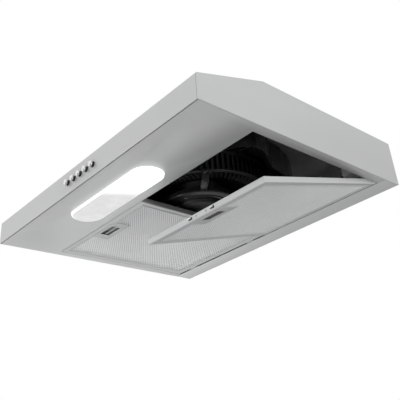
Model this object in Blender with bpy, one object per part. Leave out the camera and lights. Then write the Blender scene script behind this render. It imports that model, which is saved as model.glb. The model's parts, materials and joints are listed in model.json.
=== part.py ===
"""Under cabinet range hood, 60 cm wide: sheet steel canopy, push-button fascia, lamp, two tilting
grease filters, one horizontal blower with its motor, and a round duct collar with damper flaps.

The origin is on the top face, on the fan's axis.  +X is to the right as a cook sees it, +Y runs back
to the wall and +Z is up.  Heights are given above the hood's bottom plane with up(), depths behind
the fascia with back().
"""
import math

import bmesh
import bpy
from mathutils import Euler, Matrix, Vector

# Driving dimensions, metres
WIDTH = 0.600
DEPTH = 0.500
HEIGHT = 0.089
FRONT_HEIGHT = 0.045
FASCIA_SETBACK = 0.002
SLOPE_END = 0.147
SHEET = 0.001
GAP = 0.0003
FAN_BACK = 0.273

# Openings in the bottom
FRONT_PANEL_DEPTH = 0.1265
REAR_FLANGE_FRONT = 0.4563
OPENING_HALF = 0.2815
UPSTAND = 0.009

# Lamp and its lens
LENS_LENGTH = 0.236
LENS_WIDTH = 0.066
LENS_RADIUS = 0.031
LENS_X = -0.0025
LENS_BACK = 0.0705
LENS_PROUD = 0.004
LENS_FLANGE = 0.004

# Push buttons
BUTTON_COUNT = 5
BUTTON_PITCH = 0.0195
BUTTON_RADIUS = 0.005
BUTTON_HEIGHT = 0.021
BUTTON_PROUD = 0.0062
BUTTON_TAIL = 0.008
BORE_END = 0.021
BLOCK_FRONT = 0.0035

# Grease filters
FILTER_WIDTH = 0.2806
FILTER_CENTRE = 0.1407
FILTER_FRONT = 0.1278
FILTER_REAR = 0.4530
FILTER_THICK = 0.010
FILTER_WALL = 0.0008
FILTER_RIM = 0.010
MESH_THICK = 0.0024
HINGE_BACK = 0.4560
HINGE_HEIGHT = 0.0020
RIGHT_TILT = math.radians(14.5)
LATCH_HALF = 0.040
LATCH_REAR = 0.174
TONGUE_OFFSET = 0.0267
TONGUE_HALF = 0.0034
TONGUE_LOW = 0.0048
TONGUE_HIGH = 0.0070

# Blower, radii about the fan's axis
INLET_RADIUS = 0.147
LIP_RADIUS = 0.152
PLATE_LOW = 0.022
PLATE_HIGH = 0.024
VOLUTE_TOP = 0.078
VOLUTE_WALL = 0.002
TONGUE_ANGLE = -55.0
TONGUE_RADIUS = 0.154
SPIRAL_END_RADIUS = 0.190
SPIRAL_TURN = 304.0
BLADE_COUNT = 24
BLADE_INNER = 0.108
WHEEL_RADIUS = 0.140
WHEEL_LOW = 0.030
WHEEL_HIGH = 0.070
DISH_RADIUS = 0.080
ARM_ANGLES = (-38.0, 38.0, 142.0, 218.0)
ARM_FOOT_RADIUS = 0.157
ARM_HALF = 0.0066
ARM_LOW = 0.0176
ARM_HIGH = 0.0201
SHAFT_RADIUS = 0.004
CAN_RADIUS = 0.047

# Duct collar
OUTLET_X = 0.155
OUTLET_Y = -0.056
COLLAR_RADIUS = 0.060
COLLAR_WALL = 0.002
COLLAR_HEIGHT = 0.045
COLLAR_FLANGE = 0.068
LEDGE_HEIGHT = 0.006
FLAP_AXIS_X = 0.0037
FLAP_AXIS_Z = 0.0076

# Cabinet screw holes in the top, and the cable inlet
HOLE_X = 0.240
HOLES_Y = (-0.090, 0.190)
HOLE_RADIUS = 0.003
INLET_X = 0.230
INLET_Y = 0.150

PLANES = {"X": (1, 2, 0), "Y": (0, 2, 1), "Z": (0, 1, 2)}


def up(height):
    """Height above the bottom plane, as a Z value."""
    return height - HEIGHT


def back(distance):
    """Distance behind the fascia's foot, as a Y value."""
    return distance - FAN_BACK


def polar(radius, degrees, centre=(0.0, 0.0)):
    """Point on a circle, as (x, y)."""
    angle = math.radians(degrees)
    return (centre[0] + radius * math.cos(angle), centre[1] + radius * math.sin(angle))


def clear_scene():
    for item in list(bpy.data.objects):
        bpy.data.objects.remove(item, do_unlink=True)


def finish(name, colour, roughness, metallic):
    """Principled material in one colour."""
    material = bpy.data.materials.new(name)
    material.use_nodes = True
    shader = material.node_tree.nodes["Principled BSDF"]
    shader.inputs["Base Color"].default_value = (*colour, 1.0)
    shader.inputs["Roughness"].default_value = roughness
    shader.inputs["Metallic"].default_value = metallic
    material.diffuse_color = (*colour, 1.0)
    return material


def stack(layers, axis="Z"):
    """Closed solid through a stack of outlines, each given as (points, height along the axis)."""
    first, second, third = PLANES[axis]
    bm = bmesh.new()
    rings = []
    for points, height in layers:
        ring = []
        for a, b in points:
            place = [0.0, 0.0, 0.0]
            place[first], place[second], place[third] = a, b, height
            ring.append(bm.verts.new(place))
        rings.append(ring)
    for lower, upper in zip(rings, rings[1:]):
        count = len(lower)
        for i in range(count):
            j = (i + 1) % count
            bm.faces.new((lower[i], lower[j], upper[j], upper[i]))
    bm.faces.new(rings[0])
    bm.faces.new(rings[-1])
    bmesh.ops.recalc_face_normals(bm, faces=bm.faces)
    return bm


def prism(points, low, high, axis="Z"):
    return stack([(points, low), (points, high)], axis)


def box(x, y, z):
    """Box from three (low, high) pairs."""
    corners = [(x[0], y[0]), (x[1], y[0]), (x[1], y[1]), (x[0], y[1])]
    return prism(corners, z[0], z[1])


def turned(profile, segments, centre=(0.0, 0.0, 0.0)):
    """Profile of (radius, height) points turned about +Z; open where it ends on the axis."""
    bm = bmesh.new()
    verts = [bm.verts.new((radius, 0.0, height)) for radius, height in profile]
    on_axis = profile[0][0] == 0.0 and profile[-1][0] == 0.0
    pairs = list(zip(verts, verts[1:]))
    if not on_axis:
        pairs.append((verts[-1], verts[0]))
    edges = [bm.edges.new(pair) for pair in pairs]
    bmesh.ops.spin(bm, geom=verts + edges, cent=(0, 0, 0), axis=(0, 0, 1), dvec=(0, 0, 0),
                   angle=2 * math.pi, steps=segments, use_merge=True, use_duplicate=False)
    bmesh.ops.remove_doubles(bm, verts=bm.verts, dist=1e-6)
    bmesh.ops.recalc_face_normals(bm, faces=bm.faces)
    bmesh.ops.translate(bm, verts=bm.verts, vec=centre)
    return bm


def disc(radius, low, high, centre=(0.0, 0.0), segments=32):
    points = [polar(radius, 360 * i / segments, centre) for i in range(segments)]
    return prism(points, low, high)


def merged(*shapes):
    """Several bmeshes in one, still separate bodies."""
    whole = bmesh.new()
    for shape in shapes:
        carrier = bpy.data.meshes.new("carrier")
        shape.to_mesh(carrier)
        shape.free()
        whole.from_mesh(carrier)
        bpy.data.meshes.remove(carrier)
    return whole


def spun(bm, matrix):
    bmesh.ops.transform(bm, matrix=matrix, verts=bm.verts)
    return bm


def solid(name, bm, material, origin=(0.0, 0.0, 0.0), parent=None, smooth=True):
    """Object whose mesh was laid out in hood coordinates and whose origin is moved to a joint."""
    bmesh.ops.translate(bm, verts=bm.verts, vec=-Vector(origin))
    mesh = bpy.data.meshes.new(name)
    bm.to_mesh(mesh)
    bm.free()
    mesh.materials.append(material)
    if smooth:
        mesh.shade_smooth()
        mesh.set_sharp_from_angle(angle=math.radians(35))
    item = bpy.data.objects.new(name, mesh)
    bpy.context.scene.collection.objects.link(item)
    item.parent = parent
    item.location = origin if parent is None else Vector(origin) - parent.location
    return item


def combine(target, operation, bm, origin=(0.0, 0.0, 0.0)):
    """Boolean with a helper solid laid out in hood coordinates."""
    bmesh.ops.translate(bm, verts=bm.verts, vec=-Vector(origin))
    mesh = bpy.data.meshes.new(target.name + "_helper")
    bm.to_mesh(mesh)
    bm.free()
    helper = bpy.data.objects.new(target.name + "_helper", mesh)
    bpy.context.scene.collection.objects.link(helper)
    helper.parent = target
    helper.hide_render = True
    helper.display_type = "WIRE"
    modifier = target.modifiers.new(operation.lower(), "BOOLEAN")
    modifier.operation = operation
    modifier.object = helper
    modifier.solver = "EXACT"


def cut(target, bm, origin=(0.0, 0.0, 0.0)):
    combine(target, "DIFFERENCE", bm, origin)


def join(target, bm, origin=(0.0, 0.0, 0.0)):
    combine(target, "UNION", bm, origin)


def rounded_rectangle(length, width, radius, centre, grow=0.0, steps=5):
    """Outline with quarter-circle corners, grown outwards by grow."""
    points = []
    reach = radius + grow
    for quarter, (sx, sy) in enumerate(((1, 1), (-1, 1), (-1, -1), (1, -1))):
        corner = (centre[0] + sx * (length / 2 - radius), centre[1] + sy * (width / 2 - radius))
        for i in range(steps + 1):
            points.append(polar(reach, 90 * (quarter + i / steps), corner))
    return points


def offset_outline(points, distance):
    """Closed counter-clockwise outline moved outwards along its own normals."""
    moved = []
    count = len(points)
    for i, point in enumerate(points):
        before = Vector(points[i - 1])
        after = Vector(points[(i + 1) % count])
        along = (after - before).normalized()
        moved.append((point[0] + along.y * distance, point[1] - along.x * distance))
    return moved


def smooth_route(points, spacing):
    """Catmull-Rom curve through the points, read at an even spacing."""
    knots = [Vector(p) for p in points]
    knots = [2 * knots[0] - knots[1]] + knots + [2 * knots[-1] - knots[-2]]
    route = []
    for p0, p1, p2, p3 in zip(knots, knots[1:], knots[2:], knots[3:]):
        steps = max(1, round((p2 - p1).length / spacing))
        for i in range(steps):
            t = i / steps
            bend = (2 * p0 - 5 * p1 + 4 * p2 - p3) * t * t + (3 * p1 - p0 - 3 * p2 + p3) * t ** 3
            route.append(0.5 * (2 * p1 + (p2 - p0) * t + bend))
    route.append(knots[-2])
    return route


def tube(name, points, radius, material, spacing=0.012):
    """Round lead along a smooth route."""
    curve = bpy.data.curves.new(name, "CURVE")
    curve.dimensions = "3D"
    curve.bevel_depth = radius
    curve.bevel_resolution = 2
    curve.use_fill_caps = True
    route = smooth_route(points, spacing)
    spline = curve.splines.new("POLY")
    spline.points.add(len(route) - 1)
    for place, point in zip(route, spline.points):
        point.co = (*place, 1.0)
    curve.materials.append(material)
    item = bpy.data.objects.new(name, curve)
    bpy.context.scene.collection.objects.link(item)
    return item


def coil_spring(name, centre, start, end, radius, wire, turns, material, parent=None):
    """Helical spring whose axis runs back from start to end, both Y values."""
    per_turn = 6
    sides = 4
    bm = bmesh.new()
    rings = []
    total = per_turn * turns
    length = end - start - 2 * wire
    for i in range(total + 1):
        angle = 2 * math.pi * i / per_turn
        outward = Vector((math.cos(angle), 0.0, math.sin(angle)))
        middle = Vector((centre[0], start + wire + length * i / total, centre[1])) + radius * outward
        ring = []
        for k in range(sides):
            around = 2 * math.pi * k / sides
            rim = wire * (math.cos(around) * outward + math.sin(around) * Vector((0, 1, 0)))
            ring.append(bm.verts.new(middle + rim))
        rings.append(ring)
    for lower, upper in zip(rings, rings[1:]):
        for k in range(sides):
            j = (k + 1) % sides
            bm.faces.new((lower[k], lower[j], upper[j], upper[k]))
    bm.faces.new(rings[0])
    bm.faces.new(rings[-1])
    bmesh.ops.recalc_face_normals(bm, faces=bm.faces)
    origin = tuple(parent.location) if parent else (centre[0], start, centre[1])
    return solid(name, bm, material, origin, parent)


# ---------------------------------------------------------------- canopy

def canopy_outline():
    """Fascia, slope and top as (y, z) points, from the fascia's foot to the back."""
    return [
        (back(0.0), up(0.0)),
        (back(FASCIA_SETBACK), up(FRONT_HEIGHT)),
        (back(SLOPE_END), 0.0),
        (back(DEPTH), 0.0),
    ]


def inner_line(line, thickness):
    """The same folded line on the sheet's inner side, mitred at the folds."""
    moved = []
    for i, point in enumerate(line):
        here = Vector(point)
        normals = []
        for a, b in ((i - 1, i), (i, i + 1)):
            if a >= 0 and b < len(line):
                along = (Vector(line[b]) - Vector(line[a])).normalized()
                normals.append(Vector((along.y, -along.x)))
        middle = sum(normals, Vector((0.0, 0.0))).normalized()
        moved.append(tuple(here + middle * thickness / middle.dot(normals[0])))
    return moved


def button_x(index):
    return (index - (BUTTON_COUNT - 1) / 2) * BUTTON_PITCH


def canopy_sheet(material):
    """One folded sheet: fascia, sloped front top and flat top."""
    half = WIDTH / 2 - SHEET - GAP
    outer = canopy_outline()
    outline = outer + list(reversed(inner_line(outer, SHEET)))
    sheet = solid("canopy_sheet", prism(outline, -half, half, "X"), material, smooth=False)
    for index in range(BUTTON_COUNT):
        hole = turned([(0, -0.01), (BUTTON_RADIUS + 0.0004, -0.01),
                       (BUTTON_RADIUS + 0.0004, 0.01), (0, 0.01)], 16)
        spun(hole, Matrix.Rotation(math.radians(90), 4, "X"))
        bmesh.ops.translate(hole, verts=hole.verts, vec=(button_x(index), back(0), up(BUTTON_HEIGHT)))
        cut(sheet, hole)
    cut(sheet, disc(COLLAR_RADIUS - COLLAR_WALL, -0.01, 0.01, (OUTLET_X, OUTLET_Y), 32))
    for side in (-1, 1):
        for y in HOLES_Y:
            cut(sheet, disc(HOLE_RADIUS, -0.01, 0.01, (side * HOLE_X, y), 16))
    cut(sheet, disc(0.0068, -0.01, 0.01, (INLET_X, INLET_Y), 16))
    holes = [disc(0.0018, -0.01, 0.01, place, 8) for place in collar_screw_places()]
    cut(sheet, merged(*holes))
    return sheet


def side_panel(name, side, material):
    """Flat side with a narrow flange folded in under the top."""
    outline = canopy_outline() + [(back(DEPTH), up(0.0))]
    inner, outer = sorted((side * (WIDTH / 2 - SHEET), side * WIDTH / 2))
    panel = solid(name, prism(outline, inner, outer, "X"), material, smooth=False)
    flange = sorted((side * (WIDTH / 2 - 0.013), side * (WIDTH / 2 - SHEET / 2)))
    top = -SHEET - GAP
    join(panel, box(flange, (back(SLOPE_END + 0.008), back(DEPTH - 0.016)), (top - SHEET, top)))
    return panel


def rear_panel(material):
    """Back wall with a deep flange below and a narrow one above."""
    half = WIDTH / 2 - SHEET - GAP
    top = -SHEET - GAP
    outline = [
        (back(REAR_FLANGE_FRONT), up(0.0)),
        (back(DEPTH), up(0.0)),
        (back(DEPTH), top),
        (back(DEPTH - 0.014), top),
        (back(DEPTH - 0.014), top - SHEET),
        (back(DEPTH - SHEET), top - SHEET),
        (back(DEPTH - SHEET), up(SHEET)),
        (back(REAR_FLANGE_FRONT), up(SHEET)),
    ]
    return solid("rear_panel", prism(outline, -half, half, "X"), material, smooth=False)


def bottom_panel(material):
    """Front underside with an arm down each side, and an upstand round the filter opening."""
    half = WIDTH / 2 - SHEET - GAP
    rear = back(REAR_FLANGE_FRONT - GAP)
    front = back(SHEET + GAP)
    inside = back(FRONT_PANEL_DEPTH)
    chamfer = 0.003
    outline = [
        (-half, front), (half, front), (half, rear),
        (OPENING_HALF + chamfer, rear), (OPENING_HALF, rear - chamfer), (OPENING_HALF, inside),
        (-OPENING_HALF, inside), (-OPENING_HALF, rear - chamfer), (-OPENING_HALF - chamfer, rear),
        (-half, rear),
    ]
    panel = solid("bottom_panel", prism(outline, up(0.0), up(SHEET)), material, smooth=False)
    edge = OPENING_HALF + SHEET
    lip = [
        (-edge, rear - 2 * chamfer), (-edge, inside - SHEET), (edge, inside - SHEET),
        (edge, rear - 2 * chamfer), (OPENING_HALF, rear - 2 * chamfer), (OPENING_HALF, inside),
        (-OPENING_HALF, inside), (-OPENING_HALF, rear - 2 * chamfer),
    ]
    join(panel, prism(lip, up(SHEET / 2), up(UPSTAND)))
    cut(panel, prism(lens_outline(0.0004), up(-0.01), up(0.01)))
    for side in (-1, 1):
        for tongue in (-1, 1):
            x = side * FILTER_CENTRE + tongue * TONGUE_OFFSET
            reach = TONGUE_HALF + 0.001
            cut(panel, box((x - reach, x + reach), (inside - 0.006, inside + 0.002),
                           (up(TONGUE_LOW - 0.0012), up(TONGUE_HIGH + 0.0009))))
    return panel


# ---------------------------------------------------------------- lamp

def lens_outline(grow):
    return rounded_rectangle(LENS_LENGTH, LENS_WIDTH, LENS_RADIUS, (LENS_X, back(LENS_BACK)), grow)


def lamp_lens(material):
    """Shallow moulded cover, proud of the panel, with a flange that rests inside it."""
    rim = SHEET + GAP
    top = rim + 0.0012
    layers = [
        (lens_outline(-0.0022), up(-LENS_PROUD)),
        (lens_outline(-0.0008), up(-LENS_PROUD + 0.0005)),
        (lens_outline(0.0), up(-LENS_PROUD + 0.0018)),
        (lens_outline(0.0), up(rim)),
        (lens_outline(LENS_FLANGE), up(rim)),
        (lens_outline(LENS_FLANGE), up(top)),
        (lens_outline(-0.002), up(top)),
        (lens_outline(-0.002), up(-LENS_PROUD + 0.0018)),
    ]
    return solid("lamp_lens", stack(layers), material)


def lamp_tray(material):
    """Tray over the lens, open below, that holds the lamp board."""
    foot = up(SHEET + GAP)
    inner = lens_outline(0.0048)
    outer = lens_outline(0.0060)
    layers = [(inner, up(0.0208)), (inner, foot), (outer, foot), (outer, up(0.022))]
    return solid("lamp_tray", stack(layers), material)


def lamp_board(material):
    """Board with a row of light-emitting chips on its underside."""
    outline = lens_outline(0.0045)
    board = solid("lamp_board", prism(outline, up(0.0140), up(0.0156)), material, smooth=False)
    chips = []
    for row in (-1, 1):
        for i in range(8):
            x = LENS_X + (i - 3.5) * 0.026
            y = back(LENS_BACK) + row * 0.014
            chips.append(box((x - 0.0025, x + 0.0025), (y - 0.0025, y + 0.0025),
                             (up(0.0132), up(0.0148))))
    join(board, merged(*chips))
    return board


# ---------------------------------------------------------------- switches

def switch_block(material):
    """Housing behind the fascia with one bore for each button."""
    half = BUTTON_PITCH * BUTTON_COUNT / 2 + 0.0035
    block = solid("switch_block", box((-half, half), (back(BLOCK_FRONT), back(0.027)),
                                      (up(0.010), up(0.033))), material, smooth=False)
    bores = []
    for index in range(BUTTON_COUNT):
        bore = turned([(0, 0.0), (BUTTON_RADIUS + 0.0004, 0.0),
                       (BUTTON_RADIUS + 0.0004, 0.03), (0, 0.03)], 16)
        spun(bore, Matrix.Rotation(math.radians(90), 4, "X"))
        bmesh.ops.translate(bore, verts=bore.verts,
                            vec=(button_x(index), back(BORE_END), up(BUTTON_HEIGHT)))
        bores.append(bore)
    cut(block, merged(*bores))
    blades = [box((button_x(i) - 0.003, button_x(i) + 0.003), (back(0.026), back(0.0305)),
                  (up(0.0205), up(0.0213))) for i in range(BUTTON_COUNT)]
    join(block, merged(*blades))
    return block


def push_button(index, material):
    """Round cap that slides back into its bore."""
    length = BUTTON_PROUD + BUTTON_TAIL
    profile = [(0, length), (BUTTON_RADIUS - 0.0014, length), (BUTTON_RADIUS - 0.0004, length - 0.0004),
               (BUTTON_RADIUS, length - 0.0014), (BUTTON_RADIUS, 0), (0, 0)]
    bm = turned(profile, 16)
    spun(bm, Matrix.Rotation(math.radians(90), 4, "X"))
    origin = (button_x(index), back(BUTTON_TAIL), up(BUTTON_HEIGHT))
    bmesh.ops.translate(bm, verts=bm.verts, vec=origin)
    return solid("button_%d" % (index + 1), bm, material, origin)


def button_spring(index, material):
    return coil_spring("button_spring_%d" % (index + 1), (button_x(index), up(BUTTON_HEIGHT)),
                       back(BUTTON_TAIL + GAP), back(BORE_END - GAP), 0.0034, 0.0004, 4, material)


# ---------------------------------------------------------------- grease filters

def filter_hinge(name, tilt):
    """Empty on the filter's rear edge; a positive turn about +X lowers its front."""
    hinge = bpy.data.objects.new(name, None)
    bpy.context.scene.collection.objects.link(hinge)
    hinge.location = (0.0, back(HINGE_BACK), up(HINGE_HEIGHT))
    hinge.rotation_euler = Euler((tilt, 0.0, 0.0))
    return hinge


def filter_frame(name, centre, hinge, material):
    """Channel bent round the four sides, with two hooks that lie on the rear flange."""
    origin = tuple(hinge.location)
    x = (centre - FILTER_WIDTH / 2, centre + FILTER_WIDTH / 2)
    y = (back(FILTER_FRONT), back(FILTER_REAR))
    z = (up(0.0), up(FILTER_THICK))
    frame = solid(name, box(x, y, z), material, origin, hinge, smooth=False)
    inset = FILTER_WALL
    cut(frame, box((x[0] + inset, x[1] - inset), (y[0] + inset, y[1] - inset),
                   (z[0] + inset, z[1] - inset)), origin)
    inset = FILTER_RIM
    cut(frame, box((x[0] + inset, x[1] - inset), (y[0] + inset, y[1] - inset),
                   (z[0] - 0.01, z[1] + 0.01)), origin)
    slots = []
    hooks = []
    for side in (-1, 1):
        middle = centre + side * TONGUE_OFFSET
        reach = TONGUE_HALF + 0.0006
        slots.append(box((middle - reach, middle + reach), (y[0] - 0.005, y[0] + 0.005),
                         (up(TONGUE_LOW - 0.0006), up(TONGUE_HIGH + 0.0006))))
        middle = centre + side * 0.095
        hooks.append(box((middle - 0.010, middle + 0.010), (y[1] - FILTER_WALL / 2, back(0.4615)),
                         (up(0.0014), up(0.0026))))
    cut(frame, merged(*slots), origin)
    join(frame, merged(*hooks), origin)
    return frame


def filter_mesh(name, centre, hinge, material):
    """Pack of expanded aluminium mesh, notched round the latch."""
    edge = FILTER_WALL + GAP
    x = (centre - FILTER_WIDTH / 2 + edge, centre + FILTER_WIDTH / 2 - edge)
    y = (back(FILTER_FRONT) + edge, back(FILTER_REAR) - edge)
    notch = LATCH_HALF + GAP
    outline = [
        (x[0], y[0]), (centre - notch, y[0]), (centre - notch, back(LATCH_REAR) + GAP),
        (centre + notch, back(LATCH_REAR) + GAP), (centre + notch, y[0]), (x[1], y[0]),
        (x[1], y[1]), (x[0], y[1]),
    ]
    bm = prism(outline, up(edge), up(edge + MESH_THICK))
    return solid(name, bm, material, tuple(hinge.location), hinge, smooth=False)


def latch_housing(name, centre, hinge, material):
    """Flat case set in the mesh, open at the front, with a finger slot below."""
    origin = tuple(hinge.location)
    front = back(FILTER_FRONT + FILTER_RIM + GAP)
    rear = back(LATCH_REAR)
    case = solid(name, box((centre - LATCH_HALF, centre + LATCH_HALF), (front, rear),
                           (up(0.0), up(FILTER_THICK))), material, origin, hinge, smooth=False)
    reach = LATCH_HALF - 0.0015
    cut(case, box((centre - reach, centre + reach), (front - 0.005, rear - 0.0015),
                  (up(0.0013), up(FILTER_THICK - 0.0013))), origin)
    cut(case, box((centre - 0.021, centre + 0.021), (back(0.1460), back(0.1645)),
                  (up(-0.005), up(0.005))), origin)
    return case


def latch_slider(name, centre, hinge, material):
    """Sliding plate with a finger bar and two tongues that reach through the front wall."""
    origin = tuple(hinge.location)
    z = (up(TONGUE_LOW), up(TONGUE_HIGH))
    plate = solid(name, box((centre - 0.031, centre + 0.031), (back(0.1410), back(0.1660)), z),
                  material, origin, hinge, smooth=False)
    cut(plate, box((centre - 0.0208, centre + 0.0208), (back(0.1458), back(0.1552)),
                   (up(0.0), up(0.02))), origin)
    join(plate, box((centre - 0.0195, centre + 0.0195), (back(0.1550), back(0.1600)),
                    (up(0.0012), up(TONGUE_HIGH - 0.0005))), origin)
    tongues = [box((centre + side * TONGUE_OFFSET - TONGUE_HALF, centre + side * TONGUE_OFFSET + TONGUE_HALF),
                   (back(0.1235), back(0.1420)),
                   (z[0] + 0.0001, z[1] - 0.0001)) for side in (-1, 1)]
    join(plate, merged(*tongues), origin)
    return plate


def latch_spring(name, centre, hinge, material):
    middle = (TONGUE_LOW + TONGUE_HIGH) / 2
    return coil_spring(name, (centre, up(middle)), back(0.1660 + GAP), back(LATCH_REAR - 0.0015 - GAP),
                       0.0019, 0.0004, 3, material, hinge)


def grease_filter(side_name, centre, tilt, looks):
    hinge = filter_hinge("filter_hinge_" + side_name, tilt)
    filter_frame("filter_frame_" + side_name, centre, hinge, looks["aluminium"])
    filter_mesh("filter_mesh_" + side_name, centre, hinge, looks["filter_mesh"])
    latch_housing("latch_housing_" + side_name, centre, hinge, looks["latch_case"])
    latch_slider("latch_slider_" + side_name, centre, hinge, looks["chrome"])
    latch_spring("latch_spring_" + side_name, centre, hinge, looks["spring_steel"])


# ---------------------------------------------------------------- blower

def volute_outline():
    """Spiral that widens clockwise from the tongue, then the discharge pocket at the front right."""
    points = []
    steps = 30
    for i in range(steps + 1):
        share = i / steps
        radius = TONGUE_RADIUS + (SPIRAL_END_RADIUS - TONGUE_RADIUS) * share
        points.append(polar(radius, TONGUE_ANGLE - SPIRAL_TURN * share))
    pocket = [points[-1], (0.206, -0.023), (0.220, -0.046), (0.225, -0.074), (0.210, -0.101),
              (0.172, -0.118), (0.128, -0.124), points[0]]
    for place in smooth_route([(*p, 0.0) for p in pocket], 0.014)[1:-1]:
        points.append((place.x, place.y))
    points.reverse()
    return points


def foot_places():
    return [polar(ARM_FOOT_RADIUS, angle) for angle in ARM_ANGLES]


def volute_plate(material):
    """Bottom of the blower housing with a rounded inlet lip."""
    plate = solid("volute_plate", prism(volute_outline(), up(PLATE_LOW), up(PLATE_HIGH)), material)
    cut(plate, disc((INLET_RADIUS + LIP_RADIUS) / 2, up(0.0), up(0.05), segments=44))
    lip = [(INLET_RADIUS + 0.0012, up(0.0204)), (LIP_RADIUS - 0.0012, up(0.0204)),
           (LIP_RADIUS, up(0.0216)), (LIP_RADIUS, up(0.0237)), (INLET_RADIUS + 0.0012, up(0.0237)),
           (INLET_RADIUS, up(0.0222))]
    join(plate, turned(lip, 44))
    holes = [disc(0.0023, up(0.0), up(0.05), place, 8) for place in foot_places()]
    cut(plate, merged(*holes))
    return plate


def volute_cover(material):
    """Side wall and top of the blower housing, with a spigot up to the duct collar."""
    outline = volute_outline()
    inside = offset_outline(outline, -VOLUTE_WALL)
    foot = up(PLATE_HIGH + GAP)
    layers = [(inside, up(VOLUTE_TOP - VOLUTE_WALL)), (inside, foot), (outline, foot),
              (outline, up(VOLUTE_TOP))]
    cover = solid("volute_cover", stack(layers), material)
    spigot = COLLAR_RADIUS - COLLAR_WALL
    centre = (OUTLET_X, OUTLET_Y)
    join(cover, disc(spigot + 0.003, up(VOLUTE_TOP - 0.001), -SHEET - GAP, centre, 32))
    posts = [disc(0.008, up(VOLUTE_TOP - 0.001), -SHEET - GAP, polar(0.150, angle), 10)
             for angle in (60, 150, 200)]
    join(cover, merged(*posts))
    cut(cover, disc(spigot, up(VOLUTE_TOP - 0.01), 0.01, centre, 32))
    return cover


def motor_bracket(material):
    """Dish under the motor with four arms that cross the inlet to the bottom plate."""
    dish = [(CAN_RADIUS + 0.0033, up(0.0200)), (DISH_RADIUS - 0.003, up(0.0200)),
            (DISH_RADIUS - 0.002, up(ARM_LOW)), (DISH_RADIUS + 0.002, up(ARM_LOW)),
            (DISH_RADIUS + 0.002, up(0.0270)), (DISH_RADIUS - 0.002, up(0.0270)),
            (DISH_RADIUS - 0.003, up(0.0230)), (CAN_RADIUS + 0.0033, up(0.0230))]
    bracket = solid("motor_bracket", turned(dish, 36), material)
    arms = []
    feet = []
    holes = []
    for angle in ARM_ANGLES:
        arm = box((DISH_RADIUS - 0.0005, ARM_FOOT_RADIUS + 0.006), (-ARM_HALF, ARM_HALF),
                  (up(ARM_LOW + 0.0001), up(ARM_HIGH)))
        foot = box((LIP_RADIUS + 0.0005, ARM_FOOT_RADIUS + 0.0059), (0.0001 - ARM_HALF, ARM_HALF - 0.0001),
                   (up(ARM_HIGH - 0.001), up(PLATE_LOW - GAP)))
        turn = Matrix.Rotation(math.radians(angle), 4, "Z")
        arms.append(spun(arm, turn))
        feet.append(spun(foot, turn))
        holes.append(disc(0.0023, up(0.0), up(0.05), polar(ARM_FOOT_RADIUS, angle), 8))
    join(bracket, merged(*arms))
    join(bracket, merged(*feet))
    cut(bracket, merged(*holes))
    return bracket


def bracket_screw(index, place, material):
    """Pan-head screw up through an arm's foot and the bottom plate."""
    seat = up(ARM_LOW - GAP)
    profile = [(0, seat - 0.0022), (0.0024, seat - 0.0022), (0.0040, seat - 0.0010), (0.0040, seat),
               (0.0019, seat), (0.0019, up(0.0262)), (0, up(0.0270))]
    bm = turned(profile, 8, (*place, 0.0))
    return solid("bracket_screw_%d" % (index + 1), bm, material, (*place, seat))


def motor_can(material):
    """Drawn steel cup over the motor, with a seat for the upper bearing and a mounting flange."""
    inner = CAN_RADIUS - 0.002
    profile = [
        (inner, up(0.0203)), (CAN_RADIUS, up(0.0203)), (CAN_RADIUS, up(0.0233)),
        (CAN_RADIUS + 0.011, up(0.0233)), (CAN_RADIUS + 0.011, up(0.0248)), (CAN_RADIUS, up(0.0248)),
        (CAN_RADIUS, up(0.0570)), (CAN_RADIUS - 0.003, up(0.0600)), (SHAFT_RADIUS + 0.001, up(0.0600)),
        (SHAFT_RADIUS + 0.001, up(0.0580)), (0.0095, up(0.0580)), (0.0095, up(0.0515)),
        (0.0120, up(0.0515)), (0.0120, up(0.0575)), (CAN_RADIUS - 0.004, up(0.0575)),
        (inner, up(0.0560)),
    ]
    return solid("motor_can", turned(profile, 24), material)


def motor_end_cap(material):
    """Round cap that closes the motor from below and seats the lower bearing."""
    profile = [
        (0, up(0.0142)), (0.0300, up(0.0142)), (CAN_RADIUS - 0.004, up(0.0152)),
        (CAN_RADIUS, up(0.0180)), (CAN_RADIUS, up(0.0200)), (0.0120, up(0.0200)),
        (0.0120, up(0.0258)), (0.0095, up(0.0258)), (0.0095, up(0.0200)), (0, up(0.0200)),
    ]
    return solid("motor_end_cap", turned(profile, 28), material)


def motor_inside(looks):
    """Stator, rotor and the two bearings."""
    ring = [(0.0240, up(0.0290)), (CAN_RADIUS - 0.0023, up(0.0290)),
            (CAN_RADIUS - 0.0023, up(0.0490)), (0.0240, up(0.0490))]
    solid("motor_stator", turned(ring, 24), looks["winding"])
    core = [(SHAFT_RADIUS + GAP, up(0.0290)), (0.0235, up(0.0290)),
            (0.0235, up(0.0490)), (SHAFT_RADIUS + GAP, up(0.0490))]
    solid("motor_rotor", turned(core, 16), looks["rotor_steel"])
    for name, low in (("bearing_lower", 0.0203), ("bearing_upper", 0.0523)):
        race = [(SHAFT_RADIUS + GAP, up(low)), (0.0092, up(low)),
                (0.0092, up(low + 0.005)), (SHAFT_RADIUS + GAP, up(low + 0.005))]
        solid(name, turned(race, 12), looks["rotor_steel"])


def motor_shaft(material):
    profile = [(0, up(0.0206)), (SHAFT_RADIUS, up(0.0206)), (SHAFT_RADIUS, up(0.0746)), (0, up(0.0752))]
    return solid("motor_shaft", turned(profile, 12), material)


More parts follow.
